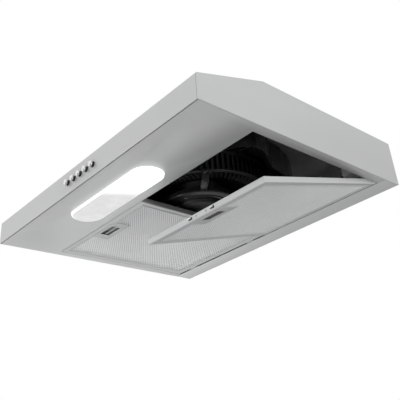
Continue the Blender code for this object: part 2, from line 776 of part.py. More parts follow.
def impeller(material):
    """Back plate, hub, shroud ring and curved blades."""
    bore = SHAFT_RADIUS + GAP
    profile = [(bore, up(0.0610)), (0.0140, up(0.0610)), (0.0150, up(WHEEL_HIGH - 0.002)),
               (WHEEL_RADIUS, up(WHEEL_HIGH - 0.002)), (WHEEL_RADIUS, up(WHEEL_HIGH)),
               (bore, up(WHEEL_HIGH))]
    wheel = solid("impeller", turned(profile, 36), material)
    ring = [(WHEEL_RADIUS - 0.007, up(WHEEL_LOW)), (WHEEL_RADIUS, up(WHEEL_LOW)),
            (WHEEL_RADIUS, up(WHEEL_LOW + 0.003)), (WHEEL_RADIUS - 0.007, up(WHEEL_LOW + 0.003))]
    join(wheel, turned(ring, 36))
    blades = []
    for i in range(BLADE_COUNT):
        start = 360 * i / BLADE_COUNT
        outline = []
        for face in (-0.5, 0.5):
            steps = range(4) if face < 0 else range(3, -1, -1)
            for k in steps:
                share = k / 3
                radius = BLADE_INNER + (WHEEL_RADIUS - 0.001 - BLADE_INNER) * share
                lean = -7.0 * share * share + math.degrees(face * 0.0012 / radius)
                outline.append(polar(radius, start + lean))
        blades.append(prism(outline, up(WHEEL_LOW + 0.001), up(WHEEL_HIGH - 0.001)))
    join(wheel, merged(*blades))
    return wheel


def impeller_nut(material):
    hexagon = [polar(0.0065, 60 * i) for i in range(6)]
    low = WHEEL_HIGH + GAP
    nut = solid("impeller_nut", prism(hexagon, up(low), up(low + 0.004)), material, smooth=False)
    cut(nut, disc(SHAFT_RADIUS + GAP, up(0.05), up(0.09), segments=12))
    return nut


# ---------------------------------------------------------------- duct collar

def duct_collar(material):
    """Flanged ring that a 120 mm duct slips over, with a ledge and a bar for the flaps."""
    inner = COLLAR_RADIUS - COLLAR_WALL
    profile = [
        (inner - 0.0035, GAP), (COLLAR_FLANGE, GAP), (COLLAR_FLANGE, 0.0022),
        (COLLAR_RADIUS, 0.0030), (COLLAR_RADIUS, COLLAR_HEIGHT), (inner, COLLAR_HEIGHT),
        (inner, LEDGE_HEIGHT), (inner - 0.0035, LEDGE_HEIGHT),
    ]
    centre = (OUTLET_X, OUTLET_Y, 0.0)
    collar = solid("duct_collar", turned(profile, 40, centre), material, centre)
    bar = box((OUTLET_X - 0.0018, OUTLET_X + 0.0018),
              (OUTLET_Y - inner - 0.0005, OUTLET_Y + inner + 0.0005), (GAP + 0.0002, 0.0105))
    join(collar, bar, centre)
    holes = [disc(0.0018, -0.005, 0.006, place, 8) for place in collar_screw_places()]
    cut(collar, merged(*holes), centre)
    return collar


def collar_screw_places():
    return [polar(0.0642, angle, (OUTLET_X, OUTLET_Y)) for angle in (0, 180)]


def collar_screw(index, place, material):
    seat = 0.0026 + GAP
    profile = [(0, -0.006), (0.0014, -0.0052), (0.0014, seat), (0.0030, seat), (0.0030, seat + 0.0008),
               (0.0018, seat + 0.0018), (0, seat + 0.0018)]
    bm = turned(profile, 8, (*place, 0.0))
    return solid("collar_screw_%d" % (index + 1), bm, material, (*place, seat))


def damper_flap(name, side, material):
    """Half disc on a barrel, resting on the collar's ledge and lifted by the air."""
    radius = COLLAR_RADIUS - COLLAR_WALL - 0.0010
    origin = (OUTLET_X + side * FLAP_AXIS_X, OUTLET_Y, FLAP_AXIS_Z)
    outline = []
    start = math.degrees(math.acos(FLAP_AXIS_X / radius))
    for i in range(21):
        x, y = polar(radius, start - 2 * start * i / 20)
        outline.append((OUTLET_X + side * x, OUTLET_Y + y))
    low = LEDGE_HEIGHT + GAP
    flap = solid(name, prism(outline, low, low + 0.0012), material, origin)
    barrel = disc(0.0013, -0.055, 0.055, segments=12)
    spun(barrel, Matrix.Rotation(math.radians(90), 4, "X"))
    bmesh.ops.translate(barrel, verts=barrel.verts, vec=origin)
    join(flap, barrel, origin)
    return flap


# ---------------------------------------------------------------- wiring

def terminal_box(looks):
    """White junction box on the right side wall, and its lid below."""
    x = (0.240, WIDTH / 2 - SHEET - GAP)
    y = (0.140, 0.192)
    case = solid("terminal_box", box(x, y, (up(0.022), up(0.060))), looks["white_plastic"], smooth=False)
    cut(case, box((x[0] + 0.0018, x[1] - 0.0018), (y[0] + 0.0018, y[1] - 0.0018),
                  (up(0.0), up(0.0582))))
    lid = box((x[0] + 0.0005, x[1] - 0.0005), (y[0] + 0.0005, y[1] - 0.0005), (up(0.0200), up(0.0217)))
    solid("terminal_lid", lid, looks["white_plastic"], smooth=False)


def capacitor(looks):
    """Motor capacitor on the back wall, held by a bent clamp."""
    length = 0.056
    middle = (-0.150, back(DEPTH - SHEET) - 0.0165, up(0.050))
    radius = 0.014
    profile = [(0, 0), (radius - 0.001, 0), (radius, 0.001), (radius, length - 0.001),
               (radius - 0.001, length), (0, length)]
    bm = turned(profile, 18)
    spun(bm, Matrix.Rotation(math.radians(90), 4, "Y"))
    bmesh.ops.translate(bm, verts=bm.verts, vec=(middle[0] - length / 2, middle[1], middle[2]))
    solid("capacitor", bm, looks["grey_plastic"], middle)
    wall = back(DEPTH - SHEET) - GAP
    reach = radius + GAP
    outline = []
    for i in range(13):
        outline.append(polar(reach, 90 + 180 * i / 12, middle[1:]))
    outline += [(wall, middle[2] - reach), (wall, middle[2] - reach - 0.010),
                (wall - 0.0012, middle[2] - reach - 0.010), (wall - 0.0012, middle[2] - reach - 0.0012)]
    for i in range(13):
        outline.append(polar(reach + 0.0012, 270 - 180 * i / 12, middle[1:]))
    outline += [(wall - 0.0012, middle[2] + reach + 0.0012), (wall - 0.0012, middle[2] + reach + 0.010),
                (wall, middle[2] + reach + 0.010), (wall, middle[2] + reach)]
    clamp = prism(outline, middle[0] - 0.008, middle[0] + 0.008, "X")
    solid("capacitor_clamp", clamp, looks["steel"], middle)


def cable_grommet(material):
    """Rubber ring in the top for the supply cable, which isn't part of the model."""
    profile = [(0.0045, -0.0040), (0.0090, -0.0040), (0.0090, -SHEET - GAP), (0.0065, -SHEET - GAP),
               (0.0065, GAP), (0.0090, GAP), (0.0090, 0.0018), (0.0045, 0.0018)]
    place = (INLET_X, INLET_Y, 0.0)
    return solid("cable_grommet", turned(profile, 16, place), material, place)


def leads(looks):
    """Internal leads: motor to terminal box, switches to terminal box, lamp to switches."""
    motor = [polar(radius, 43.0) for radius in (0.0476, 0.060, 0.090, 0.120, 0.147)]
    heights = (0.0168, 0.0150, 0.0148, 0.0148, 0.0150)
    route = [(x, y, up(h)) for (x, y), h in zip(motor, heights)]
    route += [(0.125, 0.118, up(0.0160)), (0.160, 0.138, up(0.0175)), (0.200, 0.152, up(0.0230)),
              (0.2225, 0.160, up(0.0310)), (0.2396, 0.160, up(0.0320))]
    tube("motor_lead", route, 0.0022, looks["black_cable"], 0.012)
    side = WIDTH / 2 - 0.009
    half = BUTTON_PITCH * BUTTON_COUNT / 2 + 0.0035 + GAP
    route = [(half, back(0.015), up(0.018)), (0.066, back(0.015), up(0.0175)),
             (0.090, back(0.013), up(0.009)), (0.130, back(0.012), up(0.005)),
             (0.200, back(0.012), up(0.0045)), (0.260, back(0.013), up(0.0045)),
             (0.284, back(0.024), up(0.0045)), (side, back(0.055), up(0.0045)),
             (side, back(0.150), up(0.0045)), (side, back(0.260), up(0.0045)),
             (side, 0.060, up(0.0045)), (side, 0.141, up(0.0050)),
             (side, 0.1525, up(0.0120)), (side, 0.1525, up(0.0196))]
    tube("switch_lead", route, 0.0022, looks["black_cable"], 0.020)
    edge = LENS_X + LENS_LENGTH / 2 + 0.0060 + GAP
    route = [(edge, back(0.070), up(0.012)), (0.136, back(0.068), up(0.012)),
             (0.143, back(0.052), up(0.012)), (0.128, back(0.030), up(0.014)),
             (0.096, back(0.022), up(0.022)), (0.070, back(0.020), up(0.0275)),
             (half, back(0.020), up(0.028))]
    tube("lamp_lead", route, 0.0016, looks["white_plastic"], 0.010)


def make_looks():
    return {
        "satin_steel": finish("satin_steel", (0.62, 0.62, 0.62), 0.35, 1.0),
        "steel": finish("galvanised_steel", (0.55, 0.56, 0.57), 0.45, 1.0),
        "aluminium": finish("aluminium", (0.72, 0.73, 0.74), 0.38, 1.0),
        "filter_mesh": finish("filter_mesh", (0.70, 0.71, 0.72), 0.50, 0.9),
        "latch_case": finish("latch_case", (0.68, 0.69, 0.70), 0.42, 0.8),
        "chrome": finish("chrome", (0.85, 0.85, 0.86), 0.10, 1.0),
        "spring_steel": finish("spring_steel", (0.45, 0.45, 0.47), 0.30, 1.0),
        "lens": finish("lamp_diffuser", (0.95, 0.95, 0.93), 0.35, 0.0),
        "white_plastic": finish("white_plastic", (0.85, 0.85, 0.84), 0.45, 0.0),
        "grey_plastic": finish("grey_plastic", (0.35, 0.36, 0.38), 0.50, 0.0),
        "black_plastic": finish("black_plastic", (0.02, 0.02, 0.022), 0.35, 0.0),
        "black_cable": finish("black_cable", (0.015, 0.015, 0.015), 0.55, 0.0),
        "black_rubber": finish("black_rubber", (0.02, 0.02, 0.02), 0.80, 0.0),
        "board": finish("lamp_board", (0.90, 0.90, 0.88), 0.50, 0.0),
        "winding": finish("winding", (0.50, 0.22, 0.10), 0.50, 0.6),
        "rotor_steel": finish("rotor_steel", (0.40, 0.40, 0.42), 0.35, 1.0),
    }


def build():
    clear_scene()
    looks = make_looks()
    canopy_sheet(looks["satin_steel"])
    side_panel("side_panel_left", -1, looks["satin_steel"])
    side_panel("side_panel_right", 1, looks["satin_steel"])
    rear_panel(looks["satin_steel"])
    bottom_panel(looks["satin_steel"])
    lamp_lens(looks["lens"])
    lamp_tray(looks["steel"])
    lamp_board(looks["board"])
    switch_block(looks["black_plastic"])
    for index in range(BUTTON_COUNT):
        push_button(index, looks["chrome"])
        button_spring(index, looks["spring_steel"])
    grease_filter("left", -FILTER_CENTRE, 0.0, looks)
    grease_filter("right", FILTER_CENTRE, RIGHT_TILT, looks)
    volute_plate(looks["black_plastic"])
    volute_cover(looks["black_plastic"])
    motor_bracket(looks["black_plastic"])
    for index, place in enumerate(foot_places()):
        bracket_screw(index, place, looks["steel"])
    motor_can(looks["steel"])
    motor_end_cap(looks["black_plastic"])
    motor_inside(looks)
    motor_shaft(looks["rotor_steel"])
    impeller(looks["black_plastic"])
    impeller_nut(looks["steel"])
    duct_collar(looks["black_plastic"])
    for index, place in enumerate(collar_screw_places()):
        collar_screw(index, place, looks["steel"])
    damper_flap("damper_flap_left", -1, looks["grey_plastic"])
    damper_flap("damper_flap_right", 1, looks["grey_plastic"])
    terminal_box(looks)
    capacitor(looks)
    cable_grommet(looks["black_rubber"])
    leads(looks)


build()
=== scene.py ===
"""Slim under cabinet range hood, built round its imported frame: satin steel canopy, chrome buttons,
lamp, two mesh grease filters, and the black blower that shows through the open filter bay."""
import json
import math

import bmesh
import bpy
import numpy as np
from mathutils import Matrix, Vector

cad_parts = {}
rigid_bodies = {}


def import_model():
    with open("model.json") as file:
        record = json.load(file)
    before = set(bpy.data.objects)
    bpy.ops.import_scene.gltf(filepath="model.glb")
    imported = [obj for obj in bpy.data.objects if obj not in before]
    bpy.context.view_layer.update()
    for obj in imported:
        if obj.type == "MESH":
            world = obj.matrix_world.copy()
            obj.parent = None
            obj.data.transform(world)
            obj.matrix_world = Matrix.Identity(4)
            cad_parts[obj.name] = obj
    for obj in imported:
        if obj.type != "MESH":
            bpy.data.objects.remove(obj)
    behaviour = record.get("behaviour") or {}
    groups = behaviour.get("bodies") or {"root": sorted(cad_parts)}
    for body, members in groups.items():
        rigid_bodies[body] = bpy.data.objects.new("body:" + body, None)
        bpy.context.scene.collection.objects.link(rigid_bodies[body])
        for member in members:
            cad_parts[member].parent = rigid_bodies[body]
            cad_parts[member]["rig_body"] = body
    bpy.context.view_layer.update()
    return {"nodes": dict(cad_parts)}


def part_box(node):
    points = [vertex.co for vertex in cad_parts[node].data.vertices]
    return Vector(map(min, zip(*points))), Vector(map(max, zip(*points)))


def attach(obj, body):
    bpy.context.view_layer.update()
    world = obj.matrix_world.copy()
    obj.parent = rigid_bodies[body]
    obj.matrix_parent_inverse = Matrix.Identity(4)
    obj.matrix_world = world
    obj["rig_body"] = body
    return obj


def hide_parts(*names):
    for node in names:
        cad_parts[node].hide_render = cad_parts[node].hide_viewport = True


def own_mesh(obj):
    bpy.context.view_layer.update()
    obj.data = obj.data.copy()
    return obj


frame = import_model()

# ---------------------------------------------------------------- canopy
# The body is 1 mm stainless sheet with a satin face. Fascia, slope and top are one folded blank; the
# side walls, the back and the front underside are separate sheets, spot welded to it at hidden flanges.

nodes = frame["nodes"]
FLOOR_OF_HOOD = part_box("bottom_panel")[0].z
FASCIA_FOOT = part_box("canopy_sheet")[0].y
SHEET = 0.001
SEAM = 0.0003
HALF_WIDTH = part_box("side_panel_right")[1].x
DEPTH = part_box("rear_panel")[1].y - FASCIA_FOOT
FOLD_RADIUS = 0.0028


def up(height):
    """Z of a height above the hood's underside."""
    return FLOOR_OF_HOOD + height


def back(distance):
    """Y of a distance behind the fascia's foot."""
    return FASCIA_FOOT + distance


def fillet(points, radius, steps=5, closed=False):
    """A 2-D line with its corners rounded: each corner is replaced by the arc of the given radius that
    touches both of its edges, sampled at equal angles. radius is one number or one per point."""
    points = np.asarray(points, float)
    radii = np.broadcast_to(radius, len(points))
    rounded = []
    for i, corner in enumerate(points):
        if radii[i] <= 0 or (not closed and i in (0, len(points) - 1)):
            rounded.append(corner)
            continue
        before = points[i - 1] - corner
        after = points[(i + 1) % len(points)] - corner
        before /= np.linalg.norm(before)
        after /= np.linalg.norm(after)
        half = math.acos(np.clip(before @ after, -1, 1)) / 2
        middle = before + after
        centre = corner + middle / np.linalg.norm(middle) * radii[i] / math.sin(half)
        first = corner + before * radii[i] / math.tan(half) - centre
        sweep = math.pi - 2 * half
        turn = np.sign(before[1] * after[0] - before[0] * after[1])
        for angle in np.linspace(0, turn * sweep, steps + 1):
            c, s = math.cos(angle), math.sin(angle)
            rounded.append(centre + (first[0] * c - first[1] * s, first[0] * s + first[1] * c))
    return np.array(rounded)


def thick_line(points, thickness):
    """Closed outline of a bent sheet: the line, then the same line moved by the thickness to its right."""
    step = np.diff(points, axis=0)
    step /= np.linalg.norm(step, axis=1)[:, None]
    before = np.vstack([step[:1], step])
    after = np.vstack([step, step[-1:]])
    across = np.stack([before[:, 1] + after[:, 1], -before[:, 0] - after[:, 0]], 1)
    across /= np.linalg.norm(across, axis=1)[:, None]
    reach = across[:, 0] * before[:, 1] - across[:, 1] * before[:, 0]
    moved = points + across * (thickness / reach)[:, None]
    return np.vstack([points, moved[::-1]])


def prism(outline, low, high, axis="Z"):
    """Points and faces of a flat outline carried from low to high along an axis."""
    outline = np.asarray(outline, float)
    n = len(outline)
    order = {"X": (2, 0, 1), "Y": (0, 2, 1), "Z": (0, 1, 2)}[axis]
    layers = [np.column_stack([outline, np.full(n, level)])[:, order] for level in (low, high)]
    ring = np.arange(n)
    sides = np.stack([ring, np.roll(ring, -1), np.roll(ring, -1) + n, ring + n], 1).tolist()
    return np.vstack(layers), sides + [ring[::-1].tolist(), (ring + n).tolist()]


def box(x, y, z):
    """Block between three pairs of levels."""
    return prism([(x[0], y[0]), (x[1], y[0]), (x[1], y[1]), (x[0], y[1])], *z)


def rings(rows, columns, wrap=True):
    """Quads that join a grid of points, row to row, with each row closed and the rows closed if wrap."""
    i, j = np.meshgrid(np.arange(rows if wrap else rows - 1), np.arange(columns), indexing="ij")
    below, beside = (i + 1) % rows, (j + 1) % columns
    quads = np.stack([i * columns + j, i * columns + beside,
                      below * columns + beside, below * columns + j], -1)
    return quads.reshape(-1, 4).tolist()


def turned(profile, centre=(0.0, 0.0, 0.0), segments=96, axis="Z"):
    """A closed profile of (radius, height) points turned round an axis through centre."""
    profile = np.asarray(profile, float)
    angle = np.linspace(0, 2 * math.pi, segments, endpoint=False)
    radius, height = profile[:, :1], profile[:, 1:]
    spun = [radius * np.cos(angle), radius * np.sin(angle), height + 0 * angle]
    order = {"X": (2, 0, 1), "Y": (0, 2, 1), "Z": (0, 1, 2)}[axis]
    points = np.stack([spun[k] for k in order], -1).reshape(-1, 3) + centre
    return points, rings(len(profile), segments)


def drum(radius, low, high, centre=(0.0, 0.0), segments=48, axis="Z"):
    """Solid cylinder: a rectangle of radius by height turned round an axis through centre."""
    place = {"X": (0, *centre), "Y": (centre[0], 0, centre[1]), "Z": (*centre, 0)}[axis]
    return turned([(0, low), (radius, low), (radius, high), (0, high)], place, segments, axis)


def together(*shapes):
    """Several shapes as one list of points and faces."""
    points, faces, start = [], [], 0
    for shape in shapes:
        points.append(np.asarray(shape[0], float))
        faces += [[start + v for v in face] for face in shape[1]]
        start += len(shape[0])
    return np.vstack(points), faces


def coil(centre, start, end, radius, wire, turns):
    """Round wire wound about a line along Y. The middle of the wire goes once round a circle for each turn
    while it moves evenly from start to end, and the wire is a circle of its own radius round that middle."""
    per_turn, sides = 24, 10
    share = np.linspace(0, 1, turns * per_turn + 1)
    angle = 2 * math.pi * turns * share
    outward = np.stack([np.cos(angle), 0 * angle, np.sin(angle)], 1)
    middle = radius * outward + np.array([centre[0], 0, centre[1]])
    middle[:, 1] = start + wire + (end - start - 2 * wire) * share
    around = 2 * math.pi * np.arange(sides) / sides
    rim = (np.cos(around)[None, :, None] * outward[:, None]
           + np.sin(around)[None, :, None] * np.array([0, 1, 0]))
    points = (middle[:, None] + wire * rim).reshape(-1, 3)
    k = np.arange(sides)
    beside = np.roll(k, -1)
    first = (np.arange(len(share) - 1) * sides)[:, None]
    walls = np.stack([first + k, first + beside, first + sides + beside, first + sides + k], -1)
    last = (len(share) - 1) * sides
    return points, walls.reshape(-1, 4).tolist() + [k[::-1].tolist(), (k + last).tolist()]


def mesh_of(name, shape):
    """Mesh with doubled points merged, empty faces gone and every face outwards."""
    mesh = bpy.data.meshes.new(name)
    mesh.from_pydata(np.asarray(shape[0]).tolist(), [], shape[1])
    bm = bmesh.new()
    bm.from_mesh(mesh)
    bmesh.ops.remove_doubles(bm, verts=bm.verts, dist=1e-7)
    bmesh.ops.dissolve_degenerate(bm, edges=bm.edges, dist=1e-8)
    bmesh.ops.recalc_face_normals(bm, faces=bm.faces)
    bm.to_mesh(mesh)
    bm.free()
    return mesh


def baked(item):
    """Applies an object's modifiers to its mesh."""
    shaped = bpy.data.meshes.new_from_object(item.evaluated_get(bpy.context.evaluated_depsgraph_get()))
    item.modifiers.clear()
    item.data = shaped


def piece(name, shape, material, body="hood", stands_for=(), add=(), cut=(), edge=0.0,
          crease=32.0, turn=None):
    """One finished piece: shape, with add joined and cut taken away, its edges rounded by edge."""
    item = bpy.data.objects.new(name, mesh_of(name, shape))
    bpy.context.scene.collection.objects.link(item)
    for operation, tools in (("UNION", add), ("DIFFERENCE", cut)):
        for tool_shape in tools:
            tool = bpy.data.objects.new("tool", mesh_of("tool", tool_shape))
            bpy.context.scene.collection.objects.link(tool)
            step = item.modifiers.new("step", "BOOLEAN")
            step.operation, step.solver, step.object = operation, "EXACT", tool
            bpy.context.view_layer.update()
            baked(item)
            bpy.data.objects.remove(tool)
    if edge:
        bevel = item.modifiers.new("edge", "BEVEL")
        bevel.width, bevel.segments, bevel.limit_method = edge, 2, "ANGLE"
        bevel.angle_limit = math.radians(35)
        bpy.context.view_layer.update()
        baked(item)
    if turn is not None:
        item.data.transform(turn)
    item.data.materials.clear()
    item.data.materials.append(material)
    item.data.polygons.foreach_set("use_smooth", [True] * len(item.data.polygons))
    item.data.set_sharp_from_angle(angle=math.radians(crease))
    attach(item, body)
    if stands_for:
        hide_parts(*stands_for)
    return item


def grain_group():
    """Brushing: lines drawn out along one direction, a soft cloud and a fine speck."""
    group = bpy.data.node_groups.new("brushed_grain", "ShaderNodeTree")
    for label, kind in (("Vector", "NodeSocketVector"), ("Stretch", "NodeSocketVector"),
                        ("Fineness", "NodeSocketFloat")):
        group.interface.new_socket(label, in_out="INPUT", socket_type=kind)
    for label in ("Lines", "Cloud", "Speck"):
        group.interface.new_socket(label, in_out="OUTPUT", socket_type="NodeSocketFloat")
    start = group.nodes.new("NodeGroupInput")
    end = group.nodes.new("NodeGroupOutput")
    drawn = group.nodes.new("ShaderNodeVectorMath")
    drawn.operation = "MULTIPLY"
    group.links.new(start.outputs["Vector"], drawn.inputs[0])
    group.links.new(start.outputs["Stretch"], drawn.inputs[1])
    for label, scale, detail, source in (("Lines", None, 4.0, drawn.outputs[0]),
                                         ("Cloud", 7.0, 2.0, start.outputs["Vector"]),
                                         ("Speck", 1400.0, 1.0, start.outputs["Vector"])):
        texture = group.nodes.new("ShaderNodeTexNoise")
        texture.inputs["Detail"].default_value = detail
        group.links.new(source, texture.inputs["Vector"])
        if scale is None:
            group.links.new(start.outputs["Fineness"], texture.inputs["Scale"])
        else:
            texture.inputs["Scale"].default_value = scale
        group.links.new(texture.outputs["Fac"], end.inputs[label])
    return group


GRAIN = grain_group()


def shader(name):
    """A new material: returns it, its Principled shader, its node tree and its grain group node."""
    material = bpy.data.materials.new(name)
    material.use_nodes = True
    tree = material.node_tree
    tree.nodes.clear()
    out = tree.nodes.new("ShaderNodeOutputMaterial")
    surface = tree.nodes.new("ShaderNodeBsdfPrincipled")
    tree.links.new(surface.outputs["BSDF"], out.inputs["Surface"])
    grain = tree.nodes.new("ShaderNodeGroup")
    grain.node_tree = GRAIN
    place = tree.nodes.new("ShaderNodeTexCoord")
    tree.links.new(place.outputs["Object"], grain.inputs["Vector"])
    return material, surface, tree, grain


def blend_colour(tree, factor, dark, light, target):
    """Feeds target with a colour between dark and light."""
    mix = tree.nodes.new("ShaderNodeMix")
    mix.data_type = "RGBA"
    for socket, colour in ((mix.inputs[6], dark), (mix.inputs[7], light)):
        socket.default_value = (*colour, 1)
    tree.links.new(factor, mix.inputs[0])
    tree.links.new(mix.outputs[2], target)


def blend_value(tree, factor, low, high, target):
    """Feeds target with a value between low and high."""
    spread = tree.nodes.new("ShaderNodeMapRange")
    spread.inputs["To Min"].default_value = low
    spread.inputs["To Max"].default_value = high
    tree.links.new(factor, spread.inputs["Value"])
    tree.links.new(spread.outputs["Result"], target)


def relief(tree, height, strength, depth, surface):
    """Bumps the surface's normal by a height."""
    bump = tree.nodes.new("ShaderNodeBump")
    bump.inputs["Strength"].default_value = strength
    bump.inputs["Distance"].default_value = depth
    tree.links.new(height, bump.inputs["Height"])
    tree.links.new(bump.outputs["Normal"], surface.inputs["Normal"])


def metal(name, dark, light, rough, stretch=(1, 1, 1), fineness=300.0, depth=0.00002, strength=0.3,
          metallic=1.0):
    """Bare metal: the cloud tints it, the drawn-out lines change its roughness and its relief. A finely
    scattered satin face has a metallic share below 1."""
    material, surface, tree, grain = shader(name)
    grain.inputs["Stretch"].default_value = stretch
    grain.inputs["Fineness"].default_value = fineness
    surface.inputs["Metallic"].default_value = metallic
    blend_colour(tree, grain.outputs["Cloud"], dark, light, surface.inputs["Base Color"])
    blend_value(tree, grain.outputs["Lines"], rough - 0.05, rough + 0.07, surface.inputs["Roughness"])
    relief(tree, grain.outputs["Lines"], strength, depth, surface)
    return material


def moulded(name, dark, light, rough, strength=0.15):
    """Moulded plastic or rubber: a faint cloud in the colour and a fine speckled skin."""
    material, surface, tree, grain = shader(name)
    grain.inputs["Stretch"].default_value = (1, 1, 1)
    grain.inputs["Fineness"].default_value = 500.0
    blend_colour(tree, grain.outputs["Cloud"], dark, light, surface.inputs["Base Color"])
    blend_value(tree, grain.outputs["Lines"], rough - 0.06, rough + 0.08, surface.inputs["Roughness"])
    relief(tree, grain.outputs["Speck"], strength, 0.00003, surface)
    return material


SATIN = dict(dark=(0.565, 0.57, 0.573), light=(0.62, 0.62, 0.623), rough=0.40, fineness=40.0,
             metallic=0.35)
steel_across = metal("satin_steel_across", stretch=(1, 30, 30), **SATIN)
steel_along = metal("satin_steel_along", stretch=(30, 1, 30), **SATIN)

FASCIA_TOP = 0.045
SLOPE_END = 0.147
BUTTON_COUNT = 5
BUTTON_HEIGHT = (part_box("button_1")[0].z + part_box("button_1")[1].z) / 2 - FLOOR_OF_HOOD
button_places = [sum(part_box("button_%d" % (i + 1)), Vector()).x / 2 for i in range(BUTTON_COUNT)]
collar_low, collar_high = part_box("duct_collar")
OUTLET = ((collar_low.x + collar_high.x) / 2, (collar_low.y + collar_high.y) / 2)
COLLAR_RADIUS = 0.060
INLET = (0.230, 0.150)
HANGING_HOLES = [(side * 0.240, y) for side in (-1, 1) for y in (-0.090, 0.190)]
BUTTON_HOLE, GROMMET_HOLE, SCREW_HOLE = 0.0054, 0.0068, 0.003
side_line = [(back(0.0), up(0.0)), (back(0.002), up(FASCIA_TOP)), (back(SLOPE_END), 0.0),
             (back(DEPTH), 0.0)]

skin_line = fillet(side_line, FOLD_RADIUS, 6)
skin_half = HALF_WIDTH - SHEET - SEAM
piece("canopy_skin", prism(thick_line(skin_line, SHEET), -skin_half, skin_half, "X"), steel_across,
      stands_for=["canopy_sheet"],
      cut=[together(*[drum(BUTTON_HOLE, -0.30, -0.26, (x, up(BUTTON_HEIGHT)), 32, "Y")
                      for x in button_places]),
           together(drum(COLLAR_RADIUS - 0.002, -0.01, 0.01, OUTLET, 64),
                    drum(GROMMET_HOLE, -0.01, 0.01, INLET, 32),
                    *[drum(SCREW_HOLE, -0.01, 0.01, place, 24) for place in HANGING_HOLES])])

wall_line = fillet(side_line + [(back(DEPTH), up(0.0))], [0.0006, FOLD_RADIUS, FOLD_RADIUS, 0.0006, 0.0006],
                   6, closed=True)
for side, label in ((-1, "left"), (1, "right")):
    inner, outer = sorted((side * (HALF_WIDTH - SHEET), side * HALF_WIDTH))
    flange = box(sorted((side * (HALF_WIDTH - 0.013), side * (HALF_WIDTH - SHEET / 2))),
                 (back(SLOPE_END + 0.008), back(DEPTH - 0.016)), (-2 * SHEET - SEAM, -SHEET - SEAM))
    piece("side_wall_" + label, prism(wall_line, inner, outer, "X"), steel_along,
          stands_for=["side_panel_" + label], add=[flange], edge=0.00035)

REAR_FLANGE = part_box("rear_panel")[0].y
rear_line = [(REAR_FLANGE, up(0.0)), (back(DEPTH), up(0.0)), (back(DEPTH), -SHEET - SEAM),
             (back(DEPTH - 0.014), -SHEET - SEAM)]
rear_outline = thick_line(fillet(rear_line, 0.0022, 5)[::-1], SHEET)
piece("rear_wall", prism(rear_outline, -skin_half, skin_half, "X"), steel_across,
      stands_for=["rear_panel"], edge=0.0003)

# Front underside: a flat sheet with an arm down each side, and an upstand bent up round the opening
# that the filters sit in. The lens opening and the catch slots for the filter latches are punched.

OPENING_HALF = 0.2815
OPENING_FRONT = 0.1265
UPSTAND = 0.009
SLOT_REAR = 0.0031
LENS_X = -0.0025
LENS_LENGTH = 0.236
LENS_WIDTH = 0.060
LENS_CORNER = 0.0285
LENS_BACK = 0.0735
FILTER_CENTRE = 0.1407
TONGUE_OFFSET = 0.0267


def lens_outline(grow, steps=12):
    """The lens's rounded rectangle, grown outwards by grow."""
    x, y = LENS_LENGTH / 2 + grow, LENS_WIDTH / 2 + grow
    corners = [(x, -y), (x, y), (-x, y), (-x, -y)]
    return fillet(corners, LENS_CORNER + grow, steps, closed=True) + (LENS_X, back(LENS_BACK))


arm_rear = REAR_FLANGE - 0.0015
arm_outline = [
    (-skin_half, back(SLOT_REAR)), (skin_half, back(SLOT_REAR)), (skin_half, arm_rear),
    (OPENING_HALF + 0.003, arm_rear), (OPENING_HALF, arm_rear - 0.003), (OPENING_HALF, back(OPENING_FRONT)),
    (-OPENING_HALF, back(OPENING_FRONT)), (-OPENING_HALF, arm_rear - 0.003),
    (-OPENING_HALF - 0.003, arm_rear), (-skin_half, arm_rear)]
lip_path = [(-OPENING_HALF, arm_rear - 0.006), (-OPENING_HALF, back(OPENING_FRONT)),
            (OPENING_HALF, back(OPENING_FRONT)), (OPENING_HALF, arm_rear - 0.006)]
lip = prism(thick_line(np.array(lip_path)[::-1], -SHEET), up(SHEET / 2), up(UPSTAND))
front_flange = box((-skin_half, skin_half), (back(SLOT_REAR), back(SLOT_REAR + SHEET)),
                   (up(SHEET / 2), up(UPSTAND)))
catches = [box((x - 0.0044, x + 0.0044), (back(OPENING_FRONT - 0.006), back(OPENING_FRONT + 0.002)),
               (up(0.0036), up(0.0079)))
           for x in (side * FILTER_CENTRE + tongue * TONGUE_OFFSET
                     for side in (-1, 1) for tongue in (-1, 1))]
piece("front_underside", prism(arm_outline, up(0.0), up(SHEET)), steel_across,
      stands_for=["bottom_panel"], add=[lip, front_flange],
      cut=[prism(lens_outline(0.0004), up(-0.01), up(0.01)), together(*catches)], edge=0.0003)

# ---------------------------------------------------------------- lamp
# A frosted acrylic cover pushed up through the panel, lit from behind by a board of white chips in a
# plated tray. It glows brightest at its rim and over the half where the chips sit closest.


def lofted(outlines, levels):
    """Closed skin through outlines of equal length, one at each level, first and last joined to a lid."""
    points = np.vstack([np.column_stack([line, np.full(len(line), z)])
                        for line, z in zip(outlines, levels)])
    n = len(outlines[0])
    faces = rings(len(outlines), n, wrap=False)
    return points, faces + [list(range(n))[::-1], list(range(len(points) - n, len(points)))]


